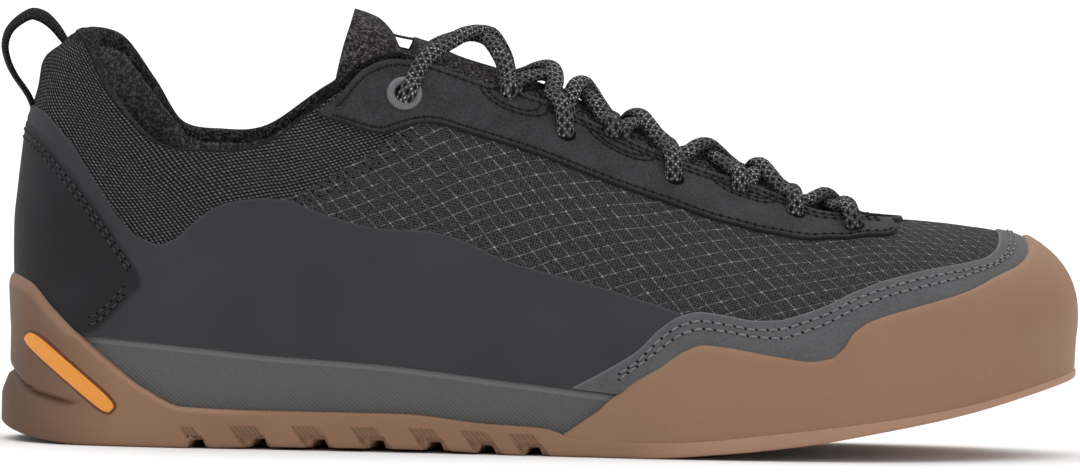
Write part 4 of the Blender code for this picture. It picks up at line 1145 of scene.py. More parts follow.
def make_upper(net, cloth, inside, collar, black, dark):
    """The upper's wall: its outside, a crest rolled over the padded edge, and its lining, as a closed ring.

    The crest swings from the outer to the inner face as half a cosine while it rises as a sine of the same
    turn. The inner face lies one wall behind the outer one; the wall swells into the collar's padding. A
    second, thin layer is the forefoot's cloth over the ankle's mesh.
    """
    count, rows_up = 540, 64
    stations = np.arange(count) / (count / 2)
    share = side_share(stations)
    climb = np.linspace(0, 1, rows_up)[None, :] + 0 * stations[:, None]
    ledge = LEDGE * along(((0, 1), (0.48, 1), (0.60, 0), (1, 0)), share)[:, None]
    ledge = ledge * np.clip(1 - climb / 0.12, 0, 1)
    pad = (COLLAR_PAD - UPPER_WALL) * along(PAD_ROWS, share)[:, None]
    wall = UPPER_WALL + pad * np.clip((climb - 0.30) / 0.60, 0, 1) ** 1.3
    at = stations[:, None]
    outer, inner = skin(at, climb, -ledge), skin(at, climb, -ledge - wall)
    across = inner[:, -1] - outer[:, -1]
    way = unit(outer[:, -1] - outer[:, -3])
    turn = np.linspace(0, math.pi, 16)[1:-1]
    roll = np.where(stations < 1, along(LATERAL_ROLL, share), along(MEDIAL_ROLL, share))
    lift = (roll * np.linalg.norm(across, axis=1))[:, None] * np.sin(turn)[None, :]
    swing = ((1 - np.cos(turn)) / 2)[None, :, None] * across[:, None]
    crest = outer[:, -1:] + swing + lift[..., None] * way[:, None]
    loop = np.concatenate([outer, crest, inner[:, ::-3]], axis=1)
    rows = loop.shape[1]
    net_face, cloth_face, inside_face, collar_face = range(4)
    past_edge = np.tile(np.arange(rows - 1), count) - (rows_up - 1)
    at_face = np.repeat(share, rows - 1)
    which = np.where(past_edge >= 0, inside_face, np.where(at_face > 0.44, cloth_face, net_face))
    which = np.where((past_edge >= 0) & (past_edge < 14), collar_face, which)
    net_edge = (past_edge >= 0) & (past_edge < 3) & (at_face > 0.085) & (at_face < 0.335)
    which = np.append(np.where(net_edge, net_face, which), np.full(count, inside_face))
    finishes, place = [net, cloth, inside, collar], cloth_place(loop, at)
    upper = piece("upper_shell", loop, ring_quads(count, rows), finishes, place, which=which)
    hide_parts("upper")
    overlay("forefoot_cloth", 0.297, 1.703, 440, level(0.004), by_share(CLOTH_TOP_ROWS), 40, 0.0003, cloth)
    # A thin near-black cord round the back of the crest: painted shade, the dark line where the mesh's
    # rolled edge meets the lining
    behind = np.arange(-94, 95)
    line, rim = crest[behind, 2], stations[behind]
    tube("collar_crease_shade", line, skin_normal(rim, 1 + 0 * rim), 0.0009, 0.0009, dark, 10)
    for tag, way in SIDES:
        reach = np.linspace(0.312, 0.452, 160)
        top = along(COLLAR_RIM_ROWS, reach)
        roll = skin(way * reach, 1 + 0 * reach, -0.0016)
        roll[:, 2] += top - 0.0020
        tube(f"collar_rim_{tag}", roll, skin_normal(way * reach, 1 + 0 * reach), 0.0040, 0.0022, black, 16)


def make_midsole(foam):
    """Foam wedge: its side follows the skin and rolls inward over its top edge as a quarter circle."""
    count = 720
    stations = np.arange(count) / (count / 2)
    low = climb_at(stations, rubber_height(feather_at(stations)[:, 0]) - 0.0012)
    height = feather_at(stations)[:, 2] - bare_skin(stations, low)[:, 2]
    roll = np.minimum(0.0022 / np.maximum(height, 0.003), 0.6)
    turn = np.linspace(0, math.pi / 2, 7)[1:]
    straight = low[:, None] + (-roll - low)[:, None] * np.linspace(0, 1, 14)[None, :]
    climb = np.concatenate([straight, -roll[:, None] * (1 - np.sin(turn))[None, :]], axis=1)
    rolled = 0.0012 * (np.cos(turn) - 1)[None, :] + 0 * stations[:, None]
    depth = np.concatenate([0 * straight, rolled], axis=1)
    side = skin(stations[:, None], climb, depth)
    side[..., 2] -= 0.0002
    inward = skin(stations[:, None], 0 * stations[:, None], -0.006)
    inward[..., 2] = side[:, -1:, 2]
    floor = inward.copy()
    floor[..., 2] = side[:, :1, 2]
    loop = np.concatenate([side, inward, floor], axis=1)
    faces = ring_quads(count, loop.shape[1])
    place = np.stack([loop[..., 0], loop[..., 2]], axis=-1)
    midsole = piece("midsole_foam", loop, faces, foam, place, {"border": side[:, -1:, 2] - loop[..., 2]})
    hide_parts("midsole")


def zigzag(x, y, points, depth):
    """Depth of a groove over the tread, its centre line through points: full in its width, none outside."""
    line = np.interp(y / BALL_WIDTH, [p[1] for p in points], [p[0] for p in points])
    ends = smooth(points[0][1] * BALL_WIDTH - 0.0015, points[0][1] * BALL_WIDTH, y)
    ends = ends * smooth(points[-1][1] * BALL_WIDTH + 0.0015, points[-1][1] * BALL_WIDTH, y)
    away = np.abs(x - line * SHOE_LENGTH) * 0.88
    return depth * smooth(GROOVE_WIDTH / 2 + 0.0004, GROOVE_WIDTH / 2 - 0.0004, away) * ends


def tread_lift(x, y):
    """How far the tread lies above its underside: 0 on the lugs, up to a groove's depth between them."""
    lift = np.zeros(np.shape(x))
    for centre in HEEL_GROOVES:
        rim, bend = centre - GROOVE_EXIT, centre + GROOVE_BEND
        half = [(bend, 0.16), (rim, 0.40), (rim - 0.008, 0.62)]
        line = [(place, -wide) for place, wide in half[::-1]] + [(centre, 0.0)] + half
        lift = np.maximum(lift, zigzag(x, y, line, GROOVE_DEPTH))
    for centre in BALL_GROOVES:
        bend = centre + GROOVE_BEND
        line = [(centre, -0.34), (bend, -0.10), (centre, 0.04), (bend, 0.18), (centre, 0.36)]
        lift = np.maximum(lift, zigzag(x, y, line, BALL_GROOVE_DEPTH))
    for side in (1, -1):
        wave = np.interp(x / SHOE_LENGTH, column(LONG_GROOVE, 0), side * column(LONG_GROOVE, 1)) * BALL_WIDTH
        inside = smooth(0.058, 0.062, x / SHOE_LENGTH) * smooth(0.532, 0.528, x / SHOE_LENGTH)
        lift = np.maximum(lift, BALL_GROOVE_DEPTH * inside * smooth(0.0021, 0.0013, np.abs(y - wave)))
    return lift


def lug_scoops(x, height):
    """Scoop behind each side gap, slanted and deeper at its foot: its depth, and where its ribs lie."""
    depth, ribs = np.zeros(np.shape(x)), np.zeros(np.shape(x))
    for number, centre in enumerate(HEEL_GROOVES):
        behind = x - (centre - GROOVE_EXIT) * SHOE_LENGTH - 0.0012 + 0.8 * (height - 0.0048)
        start = -0.0084 if number else -0.0048
        patch = smooth(start, start + 0.0006, behind) * smooth(-0.0007, -0.0013, behind)
        patch = patch * smooth(0.0062, 0.0054, height)
        depth = np.maximum(depth, patch * (0.0003 + 0.0014 * smooth(0.0038, 0.0020, height)))
        ribs = np.maximum(ribs, patch * smooth(0.0028, 0.0034, height))
    return depth, ribs


def outsole_side(stations):
    """Side of the rubber tray, a grid on the skin, and its marks: where it has ribs and where its edges get
    a painted highlight.

    Its depth is the rubber's thickness, plus the lobe below a crease that falls forward from the back of the
    heel, less the scoops. It turns in over its rim and its lower edge as quarter circles, and that edge is
    lifted where a groove comes out.
    """
    rows = 32
    share = side_share(stations)
    feather = feather_at(stations)
    rim = climb_at(stations, rubber_height(feather[:, 0]))
    tall = np.maximum(rubber_height(feather[:, 0]) - underside(feather[:, 0]), 0.003)[:, None]
    turn = np.linspace(0, math.pi / 2, 6)[None, :]
    round_top = along(((0.0, 0.0017), (0.25, 0.0013), (0.50, 0.0005), (1.0, 0.0005)), share)[:, None]
    round_low = np.minimum(0.0016, 0.3 * tall)
    slope = (rim[:, None] + 1) / tall
    top_rows = rim[:, None] - slope * round_top * (1 - np.sin(turn[:, ::-1]))
    top_depth = RUBBER_THICK - round_top * (1 - np.cos(turn[:, ::-1]))
    low_rows = slope * round_low * (1 - np.sin(turn)) - 1
    low_cut = round_low * (1 - np.cos(turn))
    start, stop = top_rows[:, -1:], low_rows[:, :1]
    middle = start + (stop - start) * (np.linspace(0, 1, rows)[None, 1:-1] ** 0.8)
    climb = np.concatenate([rim[:, None], top_rows, middle, low_rows], axis=1)
    tucked, flat = 0 * rim[:, None] - 0.0005, RUBBER_THICK + 0 * middle
    depth = np.concatenate([tucked, top_depth, flat, RUBBER_THICK - low_cut], axis=1)
    base = bare_skin(stations[:, None], climb)
    x, height = base[..., 0], base[..., 2]
    above_tread = height - underside(x)
    outside = np.where(depth > 0, 1, 0)
    # The lobe swells below the crease's line, the crease is a bell across it, and the wrap is a step
    below = along(HEEL_CREASE, x) - height
    depth = depth + HEEL_LOBE * smooth(0.036, 0.006, x) * outside * smooth(-0.0002, 0.0080, below)
    depth = depth - 0.0021 * smooth(0.0270, 0.017, x) * outside * np.exp(-(((below - 0.0002) / 0.0009) ** 2))
    depth = depth + 0.0004 * (smooth(0.50, 0.60, share)[:, None] * outside)
    scoop, ribs = lug_scoops(x, above_tread)
    flank = smooth(0.10, 0.13, share)[:, None] * smooth(0.52, 0.50, share)[:, None] * outside
    depth = depth - scoop * flank
    side = skin(stations[:, None], climb, depth)
    lifted = tread_lift(side[..., 0] - ORIGIN[0], side[..., 1] - ORIGIN[1])
    side[..., 2] += lifted * smooth(0.0036, 0.0018, above_tread)
    # Painted highlight: the mark for the forefoot's lower edge and the heel clip's top bevel
    low_edge = smooth(0.0006, 0.0, depth - RUBBER_THICK - 0.0004)
    low_edge = low_edge * smooth(0.54, 0.62, share)[:, None] * outside
    bevel = 0.6 * smooth(0.0019, 0.0006, (rim[:, None] - climb) / slope) * outside
    bevel = bevel * smooth(0.27, 0.22, share)[:, None]
    return side, ribs * flank, low_edge + bevel


def outsole_tread(side):
    """Points and faces of the tread, numbered on from the points of the side, whose lowest ones it shares.

    It spans every second station with its opposite one and is lifted into the grooves.
    """
    count, wall = side.shape[:2]
    half = count // 2
    lateral = side[: half + 1, -1]
    medial = side[np.r_[0, np.arange(count - 1, half - 1, -1)], -1]
    part = np.linspace(0, 1, 121)[None, :, None]
    sole = lateral[:, None] * (1 - part) + medial[:, None] * part
    flat_x, flat_y = sole[..., 0] - ORIGIN[0], sole[..., 1] - ORIGIN[1]
    inner = smooth(0, 0.03, part[..., 0]) * smooth(1, 0.97, part[..., 0])
    sole[..., 2] = np.where(inner > 0, underside(flat_x) + tread_lift(flat_x, flat_y), sole[..., 2])
    sole = sole[::2]
    # Number of the point in each place: the side's own along the border, and new ones inside it
    low_ring = np.arange(count) * wall + wall - 1
    points = sole[1:-1, 1:-1].reshape(-1, 3)
    spot = np.zeros(sole.shape[:2], int)
    spot[1:-1, 1:-1] = count * wall + np.arange(len(points)).reshape(len(sole) - 2, -1)
    spot[:, 0] = low_ring[: half + 1 : 2]
    spot[:, -1] = low_ring[np.r_[0, np.arange(count - 2, half - 1, -2)]]
    spot[0], spot[-1] = low_ring[0], low_ring[half]
    strips = np.stack([spot[:-1, :-1], spot[1:, :-1], spot[1:, 1:], spot[:-1, 1:]], axis=-1).tolist()
    for run, strip in enumerate(strips):
        strip[0].insert(1, int(low_ring[2 * run + 1]))
        strip[-1].insert(3, int(low_ring[count - 2 * run - 1]))
    return points, [list(dict.fromkeys(quad))[::-1] for strip in strips for quad in strip]


def make_outsole(rubber):
    """Gum rubber tray with a clip and a proud lobe round the heel, side lugs and a grooved tread."""
    count = 1200
    side, ribs, edge_highlight = outsole_side(np.arange(count) / (count / 2))
    middle, tread = outsole_tread(side)
    points = np.concatenate([side.reshape(-1, 3), middle])
    faces = grid_quads(count, side.shape[1], 0, True)[:, ::-1].tolist() + tread
    none = np.zeros(len(middle))
    marks = {"ribs": np.append(ribs.ravel(), none), "edge_highlight": np.append(edge_highlight.ravel(), none)}
    outsole = piece("outsole_rubber", points, faces, rubber, None, marks)
    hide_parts("outsole")


def ring_lid(stations, rings):
    """Points and faces of a closed solid from rings of stations, its two open ends spanned across."""
    count = len(stations)
    points = np.stack(rings, axis=1)
    rows = points.shape[1]
    faces = grid_quads(count, rows, 0, True).tolist()
    ring = np.arange(count) * rows
    for row, turn in ((0, 1), (rows - 1, -1)):
        for step in range(count // 2):
            quad = [ring[step] + row, ring[-step] + row, ring[-step - 1] + row, ring[step + 1] + row]
            faces.append([int(v) for v in dict.fromkeys(quad)][::turn])
    return points, faces


def make_insole(cover):
    """Footbed in the upper, its edge cupped."""
    count = 240
    stations = np.arange(count) / (count / 2)
    inset = LEDGE + UPPER_WALL + 0.0006
    flat = 0 * stations
    base = feather_at(stations)[:, 2] + 0.0003
    rings = []
    for inward, rise in INSOLE_RINGS:
        ring = skin(stations, flat, flat - inset - inward)
        ring[:, 2] = base + rise
        rings.append(ring)
    points, faces = ring_lid(stations, rings)
    insole = piece("footbed", points, faces, cover)
    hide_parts("insole")


def by_share(rows):
    """A border as a function of the station, from a table by its share of the way to the toe."""
    return lambda station: along(rows, side_share(station))


def level(climb):
    """A border at one climb, as a function of the station."""
    return lambda station: climb + 0 * station


def make_rand(rubber):
    """Rubber wrap of the forefoot and toe, thinning a little towards its upper edge."""

    def low(station):
        return climb_at(station, rubber_height(feather_at(station)[:, 0]) - 0.0014)

    def high(station):
        return np.maximum(along(RAND_TOP_ROWS, side_share(station)), low(station) + 0.02)

    rand = overlay("rand_rubber", 0.502, 1.498, 440, low, high, 30, RAND_THICK, rubber, 0.0, 0.0008, 0.009)
    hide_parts("toe_rand")


def guard_low(station):
    """Lower border of the toe overlay, just under the rand's upper edge."""
    return np.maximum(along(RAND_TOP_ROWS, side_share(station)), 0) - 0.01


def make_guard(finish, thread, hole_shade):
    """Toe overlay with its double row of stitches below the upper edge."""
    high = by_share(GUARD_TOP_ROWS)
    guard = overlay("toe_overlay", 0.508, 1.492, 460, guard_low, high, 12, GUARD_THICK, finish)
    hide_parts("mudguard")
    for number, inset in enumerate((0.0030, 0.0056), 1):
        path = border_path(guard_low, high, 0.548, 1.452, inset, 1400)
        seam(f"toe_overlay_seam_{number}", *path, GUARD_THICK, thread, hole_shade)


def make_facing(finish, thread, hole_shade):
    """Lace facing down both sides and round the front of the throat, stitched along its edges and slits."""
    low, high = by_share(FACING_LOW_ROWS), by_share(FACING_TOP_ROWS)
    facing = overlay("lace_facing", 0.351, 1.649, 520, low, high, 18, FACING_THICK, finish, 0.0, 0.0008)
    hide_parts("eyestay")
    small = (0.0025, 0.0018, 0.00034, (0.00040, 0.00026))
    turn = np.linspace(0, math.pi, 60)
    slits = [(number, row[0]) for number, row in enumerate(HOLE_ROWS) if row[2]]
    for tag, way in SIDES:
        for number, (first, inset) in enumerate(((0.360, -0.0017), (0.364, 0.0024), (0.52, 0.0042)), 1):
            stations, climbs = border_path(low, high, first, 0.835, inset, 900)
            seam(f"facing_seam_{tag}_{number}", way * stations, climbs, FACING_THICK, thread, hole_shade, *small)
        for number, share in slits:
            for row, grow in (("inner", 0.78), ("outer", 1.0)):
                stations = way * (share + 0.004 + grow * 0.0265 * np.cos(turn))
                climbs = 0.982 - grow * 0.080 * np.sin(turn) ** 0.8
                name = f"slit_seam_{tag}_{number}_{row}"
                seam(name, stations, climbs, FACING_THICK, thread, hole_shade, *small)


def counter_low(station):
    """Lower border of the heel counter: on the rubber clip, then up to its front corner."""
    rim = climb_at(station, rubber_height(feather_at(station)[:, 0])) - 0.02
    return np.maximum(rim, along(COUNTER_LOW_ROWS, side_share(station)))


def make_counter(finish, thread, hole_shade):
    """Outside counter round the heel with a double row of stitches along its upper and lower front edges."""

    def high(station):
        return np.maximum(along(COUNTER_TOP_ROWS, side_share(station)), counter_low(station) + 0.02)

    counter = overlay("counter_film", -0.162, 0.162, 200, counter_low, high, 30, COUNTER_THICK, finish)
    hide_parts("heel_counter")
    fine = (0.0027, 0.0019, 0.00024)
    for number, inset in enumerate((0.0024, 0.0046), 1):
        reach = 0.1575 - 0.003 * number
        path = border_path(counter_low, high, -reach, reach, inset, 600)
        seam(f"counter_seam_{number}", *path, COUNTER_THICK, thread, hole_shade, *fine)
        for tag, way in SIDES:
            stations, climbs = border_path(counter_low, high, 0.116, 0.152 - 0.002 * number, -inset, 200)
            name = f"counter_low_seam_{tag}_{number}"
            seam(name, way * stations, climbs, COUNTER_THICK, thread, hole_shade, *fine)


def make_films(quarter):
    """Welded film round the heel and low along both sides."""
    high = by_share(FILM_TOP_ROWS)
    overlay("quarter_film", -0.612, 0.612, 440, level(-0.014), high, 24, FILM_THICK, quarter, 0.0002, 0.0004)


def hole_place(share, climb, side, depth=0.0):
    """Centre and outward direction of a lace hole; side is 1 for lateral and -1 for medial."""
    station = np.array([side * share])
    return skin(station, np.array([climb]), depth)[0], skin_normal(station, np.array([climb]))[0]


def make_rings(finish):
    """Moulded ring at the top lace hole of each side: a rounded section turned about the hole's axis."""
    for tag, side in SIDES:
        centre, normal = hole_place(HOLE_ROWS[0][0], HOLE_ROWS[0][1], side, FACING_THICK)
        first = unit(np.cross(normal, (0.9, 0.1, 0.42)))
        second = np.cross(normal, first)
        around_axis, round_section = 56, 18
        turn = 2 * math.pi * np.arange(around_axis) / around_axis
        roll = 2 * math.pi * np.arange(round_section) / round_section
        middle, half = (EYELET_BORE + RING_WIDTH) / 4, (RING_WIDTH - EYELET_BORE) / 4
        spoke = np.cos(turn)[:, None] * first + np.sin(turn)[:, None] * second
        radius = middle + half * np.cos(roll)
        rise = 0.0001 + 0.0009 * np.sin(roll)
        points = centre + radius[None, :, None] * spoke[:, None, :] + rise[None, :, None] * normal
        first_row = np.arange(around_axis) * round_section
        ahead, last = np.roll(first_row, -1), round_section - 1
        closing = np.stack([first_row + last, ahead + last, ahead, first_row], axis=-1)
        faces = np.concatenate([grid_quads(around_axis, round_section, 0, True), closing])
        ring = piece(f"ring_{tag}", points, faces, finish)
        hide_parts(f"eyelet_ring_{tag}")


def make_slots(dark):
    """Painted shade in the hole, or slit, of the facing under each lace strand: a low dark oval dome."""
    turn, inward = 2 * math.pi * np.arange(24) / 24, np.linspace(1, 0.0, 5)[None, :, None]
    points, faces = [], []
    for share, climb, slit in HOLE_ROWS:
        for side in (1, -1):
            centre, normal = hole_place(share, climb, side, FACING_THICK + 0.00006)
            ahead = hole_place(share + 0.01, climb, side, FACING_THICK + 0.00006)[0]
            first = unit(ahead - centre)
            second = np.cross(normal, first)
            long, short = (slit / 2, 0.0011) if slit else (0.0029, 0.0027)
            spoke = long * np.cos(turn)[:, None] * first + short * np.sin(turn)[:, None] * second
            disc = centre + spoke[:, None, :] * inward + 0.00006 * normal * (1 - inward**2)
            disc, cover = dome(disc, sum(len(each) for each in points))
            points.append(disc)
            faces += cover
    piece("lace_slot_shade", np.concatenate(points), faces, dark)


def tongue_arch(share, spans):
    """The tongue's upper surface across the throat: a cubic that leaves each edge along the wall's slope."""
    share = np.atleast_1d(share)
    depth = -(UPPER_WALL + 0.0006)
    one = 0 * share + 1.0
    edges, slopes = [], []
    for side in (1, -1):
        edge = skin(side * share, one, depth)
        edges.append(edge)
        slopes.append(unit(edge - skin(side * share, 0.96 * one, depth)))
    reach = 0.40 * np.linalg.norm(edges[1] - edges[0], axis=1, keepdims=True)
    rising, falling = edges[0] + reach * slopes[0], edges[1] + reach * slopes[1]
    t = np.asarray(spans, float)[None, :, None]
    ends = [point[:, None, :] for point in (edges[0], rising, falling, edges[1])]
    blend = ((1 - t) ** 3, 3 * (1 - t) ** 2 * t, 3 * (1 - t) * t**2, t**3)
    return sum(weight * end for weight, end in zip(blend, ends))


def make_tongue(finish, edge):
    """Padded tongue: wings under both edges of the throat, an arch over the instep, and a free top end.

    The arch dips behind the top of the lacing. The free end rises from it to a standing half oval, steeply
    at first, as a power of the way, and its thickness falls off as a smooth step at the ends and sides.
    """
    share = np.linspace(0.4385, 0.965, 110)
    columns = 41
    arch = tongue_arch(share, np.linspace(0, 1, columns))
    crown = np.sin(np.linspace(0, math.pi, columns))[None, :] ** 1.5
    raised = (0.0013 * smooth(0.50, 0.56, share) - 0.0007 * smooth(0.450, 0.439, share))[:, None]
    arch[..., 2] += raised * crown
    wing_low = along(((0.42, 0.80), (0.75, 0.84), (0.97, 0.93)), share)
    step = np.linspace(0, 1, 8)[None, :-1]
    climb = wing_low[:, None] + step * (1 - wing_low[:, None])
    wings = [skin(side * share[:, None], climb, -(UPPER_WALL + 0.0006)) for side in (1, -1)]
    body = np.concatenate([wings[0], arch, wings[1][:, ::-1]], axis=1)
    first = body[0]
    gone = np.append(0, np.cumsum(np.linalg.norm(np.diff(first, axis=0), axis=-1)))
    turn = (gone / gone[-1] - 0.5) * math.pi
    up = np.cos(turn)
    end = np.stack([0.0915 + 0.0050 * up, 0.0225 * np.sin(turn), 0.1020 + 0.0190 * up**0.9], axis=-1)
    end = end + ORIGIN
    rise = np.linspace(1, 0, 27)[:-1, None, None]
    flap = first + rise * (end - first)
    middle = flap[:, columns // 2]
    seen = (*FLAP_ROWS, (0.1137, first[columns // 2, 2]))
    flap[..., 2] += (along(seen, middle[:, 0] - ORIGIN[0]) - middle[:, 2])[:, None] * up
    flap[..., 1] = ORIGIN[1] + (flap[..., 1] - ORIGIN[1]) * (1 - 0.22 * rise[..., 0] * (1 - rise[..., 0]))
    outer = np.concatenate([flap, body])
    normal = unit(np.cross(np.gradient(outer, axis=0), np.gradient(outer, axis=1)))
    down, across = np.arange(len(outer)), np.arange(outer.shape[1])
    from_side = np.minimum(across, across[::-1])
    thick = TONGUE_THICK * np.linspace(1, 0.55, len(outer))
    thick = (thick * (0.3 + 0.7 * smooth(-2, 8, down)))[:, None] * (0.35 + 0.65 * smooth(-1, 5, from_side))
    points, faces = slab(outer, outer - thick[..., None] * normal)
    place = np.stack([outer[..., 0], outer[..., 1]], axis=-1)
    tongue = piece("padded_tongue", points, faces, finish, np.concatenate([place.reshape(-1, 2)] * 2))
    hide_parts("tongue")
    band = spline(np.array(KEEPER_LINE) + ORIGIN, 0.0005)
    tube("lace_keeper", band, np.broadcast_to((0.2, 0.0, 1.0), band.shape), 0.0080, 0.0007, edge, 16)


def make_loop(tape):
    """Pull loop of woven tape, a little twisted; both its ends go into the upper, one at the collar's crest.

    Its table gives the outer face as seen from the side, so the tape's middle lies half its seen width
    inside.
    """
    station = np.array([0.0])
    low = [skin(station, np.array([climb]), depth)[0] for climb, depth in ((0.66, -0.0010), (0.70, 0.0002))]
    x, height = column(LOOP_ROWS, 0), column(LOOP_ROWS, 1)
    outer = np.stack([x, 0 * x, height], axis=-1) + ORIGIN
    high = [outer[-1] + (0.0012, 0, -0.0022), outer[-1] + (0.0030, 0, -0.0050)]
    twist = np.radians(np.concatenate([[2, 2], column(LOOP_ROWS, 2), [4, 2]]))
    spacing = 0.0006
    both = spline(np.concatenate([np.array([*low, *outer, *high]), twist[:, None]], axis=1), spacing)
    path, twist = both[:, :3], both[:, 3:]
    run = unit(np.gradient(path, axis=0))
    inward = unit(np.cross((0.0, 1.0, 0.0), run))
    seen = 0.5 * (LOOP_WIDTH * np.sin(twist) + LOOP_THICK * np.cos(twist)) - 0.0003
    free = smooth(0.0, 0.010, np.arange(len(path)) * spacing)[:, None]
    path = path + inward * seen * free
    hint = np.cos(twist) * inward + np.sin(twist) * np.array([0.0, 1.0, 0.0])
    strap = tube("pull_loop_tape", path, hint, LOOP_WIDTH, LOOP_THICK, tape, 28)
    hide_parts("pull_loop")


def braid_relief(turn, run):
    """Crossing strands: the higher of two cosines that wind round the lace in opposite ways."""
    left = np.cos(6 * turn + 2 * math.pi * run / 0.0024)
    right = np.cos(6 * turn - 2 * math.pi * run / 0.0024)
    return 0.035 * np.maximum(left, right)


def top_strand(side, low_row, over_first):
    """Points and height directions of a strand of the top crossing, which hangs in a loose arc."""
    points = np.array(TOP_STRAND) * (1, -side, 1) + ORIGIN
    slit, outward = hole_place(low_row[0], low_row[1], -side)
    points[0], points[1] = slit - 0.004 * outward, slit + (FACING_THICK + 0.0012) * outward
    points[3:9, 2] += np.where(over_first, 0.0009, -0.0009) * np.array([0.2, 0.6, 1, 1, 0.6, 0.2])
    run = unit(np.gradient(points, axis=0))
    outward = np.stack([0 * points[:, 0], points[:, 1] - ORIGIN[1], 0.010 + 0 * points[:, 0]], axis=-1)
    return points, unit(outward - np.sum(outward * run, axis=1, keepdims=True) * run)


def lace_path(side, high_row, low_row, over_first):
    """Points and height directions of a strand.

    It comes out of the lower hole, runs over the throat's edge and the tongue, and goes under the far edge.
    Where two cross, one bows up and the other presses into the padded tongue.
    """
    proud = FACING_THICK + LACE_HEIGHT / 2 + 0.0002
    high_share, low_share, low_climb = high_row[0], low_row[0], low_row[1]
    spans = np.array([0.88, 0.76, 0.63, 0.50, 0.37, 0.24, 0.12])
    lean, higher = LEANS.get(high_share, (0.0, 0.0))
    hump = np.sin(np.linspace(0, math.pi, 7))
    shares = np.linspace(low_share + 0.001, high_share + 0.012, 7) + lean * hump
    lifts = np.array([0.0010, 0.0004, 0.0, 0.0, 0.0, -0.0004, -0.0012]) + higher * hump
    lifts = lifts + np.where(over_first, 0.0024, -0.0006) * np.exp(-(((spans - 0.5) / 0.2) ** 2))
    if side < 0:
        spans = 1 - spans
    arch = [tongue_arch(share, [span - 0.02, span, span + 0.02])[0] for share, span in zip(shares, spans)]
    points, hints = [], []
    rising = (
        (low_climb, -0.0045),
        (low_climb + 0.003, proud - 0.0014),
        (low_climb + 0.035, proud + 0.0004),
        (1.0, proud + 0.0001),
    )
    for climb, depth in rising:
        centre, normal = hole_place(low_share - 0.001, min(climb, 1.0), -side, depth)
        points.append(centre)
        hints.append(normal)
    if low_climb > 0.93:
        del points[2], hints[2]
    for trio, rise in zip(arch, lifts):
        up = unit(np.cross((1.0, 0.0, 0.0), trio[2] - trio[0]))
        up = up * (1 if up[2] > 0 else -1)
        points.append(trio[1] + up * (rise + 0.0013 + LACE_HEIGHT / 2))
        hints.append(up)
    centre, normal = hole_place(high_share + 0.010, 0.965, side, -UPPER_WALL - 0.0008)
    return np.array([*points, centre]), np.array([*hints, normal])


def make_laces(finish):
    """The lace's crossings: in each, one strand lies over the other."""
    for number, (high_row, low_row) in enumerate(zip(HOLE_ROWS, HOLE_ROWS[1:]), 1):
        for side, tag in ((1, "a"), (-1, "b")):
            over = (side > 0) == (number % 2 == 1)
            if high_row == HOLE_ROWS[0]:
                points, hints = top_strand(side, low_row, over)
            else:
                points, hints = lace_path(side, high_row, low_row, over)
            both = spline(np.concatenate([points, hints], axis=1), 0.00052)
            path, hint = both[:, :3], unit(both[:, 3:])
            wide, high = 0.94 * LACE_WIDTH, LACE_HEIGHT
            strand = tube(f"lace_{number}_{tag}", path, hint, wide, high, finish, 24, braid_relief)
            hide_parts(f"lace_crossing_{number}")


def squarish(value, power):
    """A value to a power below 1, with its own sign: it turns a circle into a rounded box."""
    return np.sign(value) * np.abs(value) ** power


def make_badge(orange, dark):
    """Plain raised bar on the heel clip of each side, with a dark rim: a low rounded box, set aslant."""
    turn = 2 * math.pi * np.arange(64) / 64
    steps = np.array([1.0, 1.0, 0.985, 0.93, 0.6, 0.3, 0.0])
    drops = np.array([0.0008, 0.0002, 0.00006, 0.0, 0.0, 0.0, 0.0])
    tilt, middle_x, middle_z = math.radians(-41), 0.0206, 0.0200
    table = np.linspace(0, 0.3, 400)
    table_x = feather_at(table)[:, 0]
    for name, sign in SIDES:
        for layer, finish, grow, rise in (("rim", dark, 0.0008, 0.00018), ("bar", orange, 0.0, 0.00065)):
            ring_x = (0.0150 + grow) * squarish(np.cos(turn), 0.35)
            ring_z = (0.0021 + grow) * squarish(np.sin(turn), 0.55)
            x = middle_x + (ring_x * math.cos(tilt) - ring_z * math.sin(tilt))[:, None] * steps
            z = middle_z + (ring_x * math.sin(tilt) + ring_z * math.cos(tilt))[:, None] * steps
            stations = np.interp(x, table_x, table).ravel()
            climbs = climb_at(stations, z.ravel())
            depth = RUBBER_THICK + rise - np.tile(drops, len(turn))
            points, faces = dome(skin(sign * stations, climbs, depth).reshape(*x.shape, 3))
            piece(f"clip_bar_{layer}_{name}", points, [face[::sign] for face in faces], finish)


def make_stage():
    """Pale floor that runs on far past what the camera sees, on all sides."""
    count = 7
    x, y = np.meshgrid(np.linspace(-30, 30, count), np.linspace(-30, 30, count), indexing="ij")
    points = np.stack([x, y, 0 * x], axis=-1).reshape(-1, 3)
    paper = Finish("seamless_paper", "#fbfbfb", 0.9)
    mesh = bpy.data.meshes.new("seamless_floor")
    mesh.from_pydata(points.tolist(), [], grid_quads(count, count)[:, ::-1].tolist())
    mesh.materials.append(paper.material)
    floor = bpy.data.objects.new("seamless_floor", mesh)
    bpy.context.scene.collection.objects.link(floor)


def make_camera():
    """Long lens, level with the shoe's side and a little above it, rolled as the photograph is."""
    lift, roll, distance = math.radians(2.5), math.radians(1.03), 6.2
    target = np.array([0.14937 + ORIGIN[0], -0.020, 0.0600])
    pixels_wide, metres_a_pixel = 1080, 0.00027866
    camera = bpy.data.cameras.new("camera")
    camera.sensor_width = 36
    camera.lens = 36 * distance / (pixels_wide * metres_a_pixel)
    camera.clip_end = 80
    obj = bpy.data.objects.new("camera", camera)
    bpy.context.scene.collection.objects.link(obj)
    obj.location = target + distance * np.array([0, -math.cos(lift), math.sin(lift)])
    obj.rotation_euler = (math.pi / 2 - lift, 0, 0)
    obj.rotation_euler.rotate_axis("Z", roll)
    bpy.context.scene.camera = obj


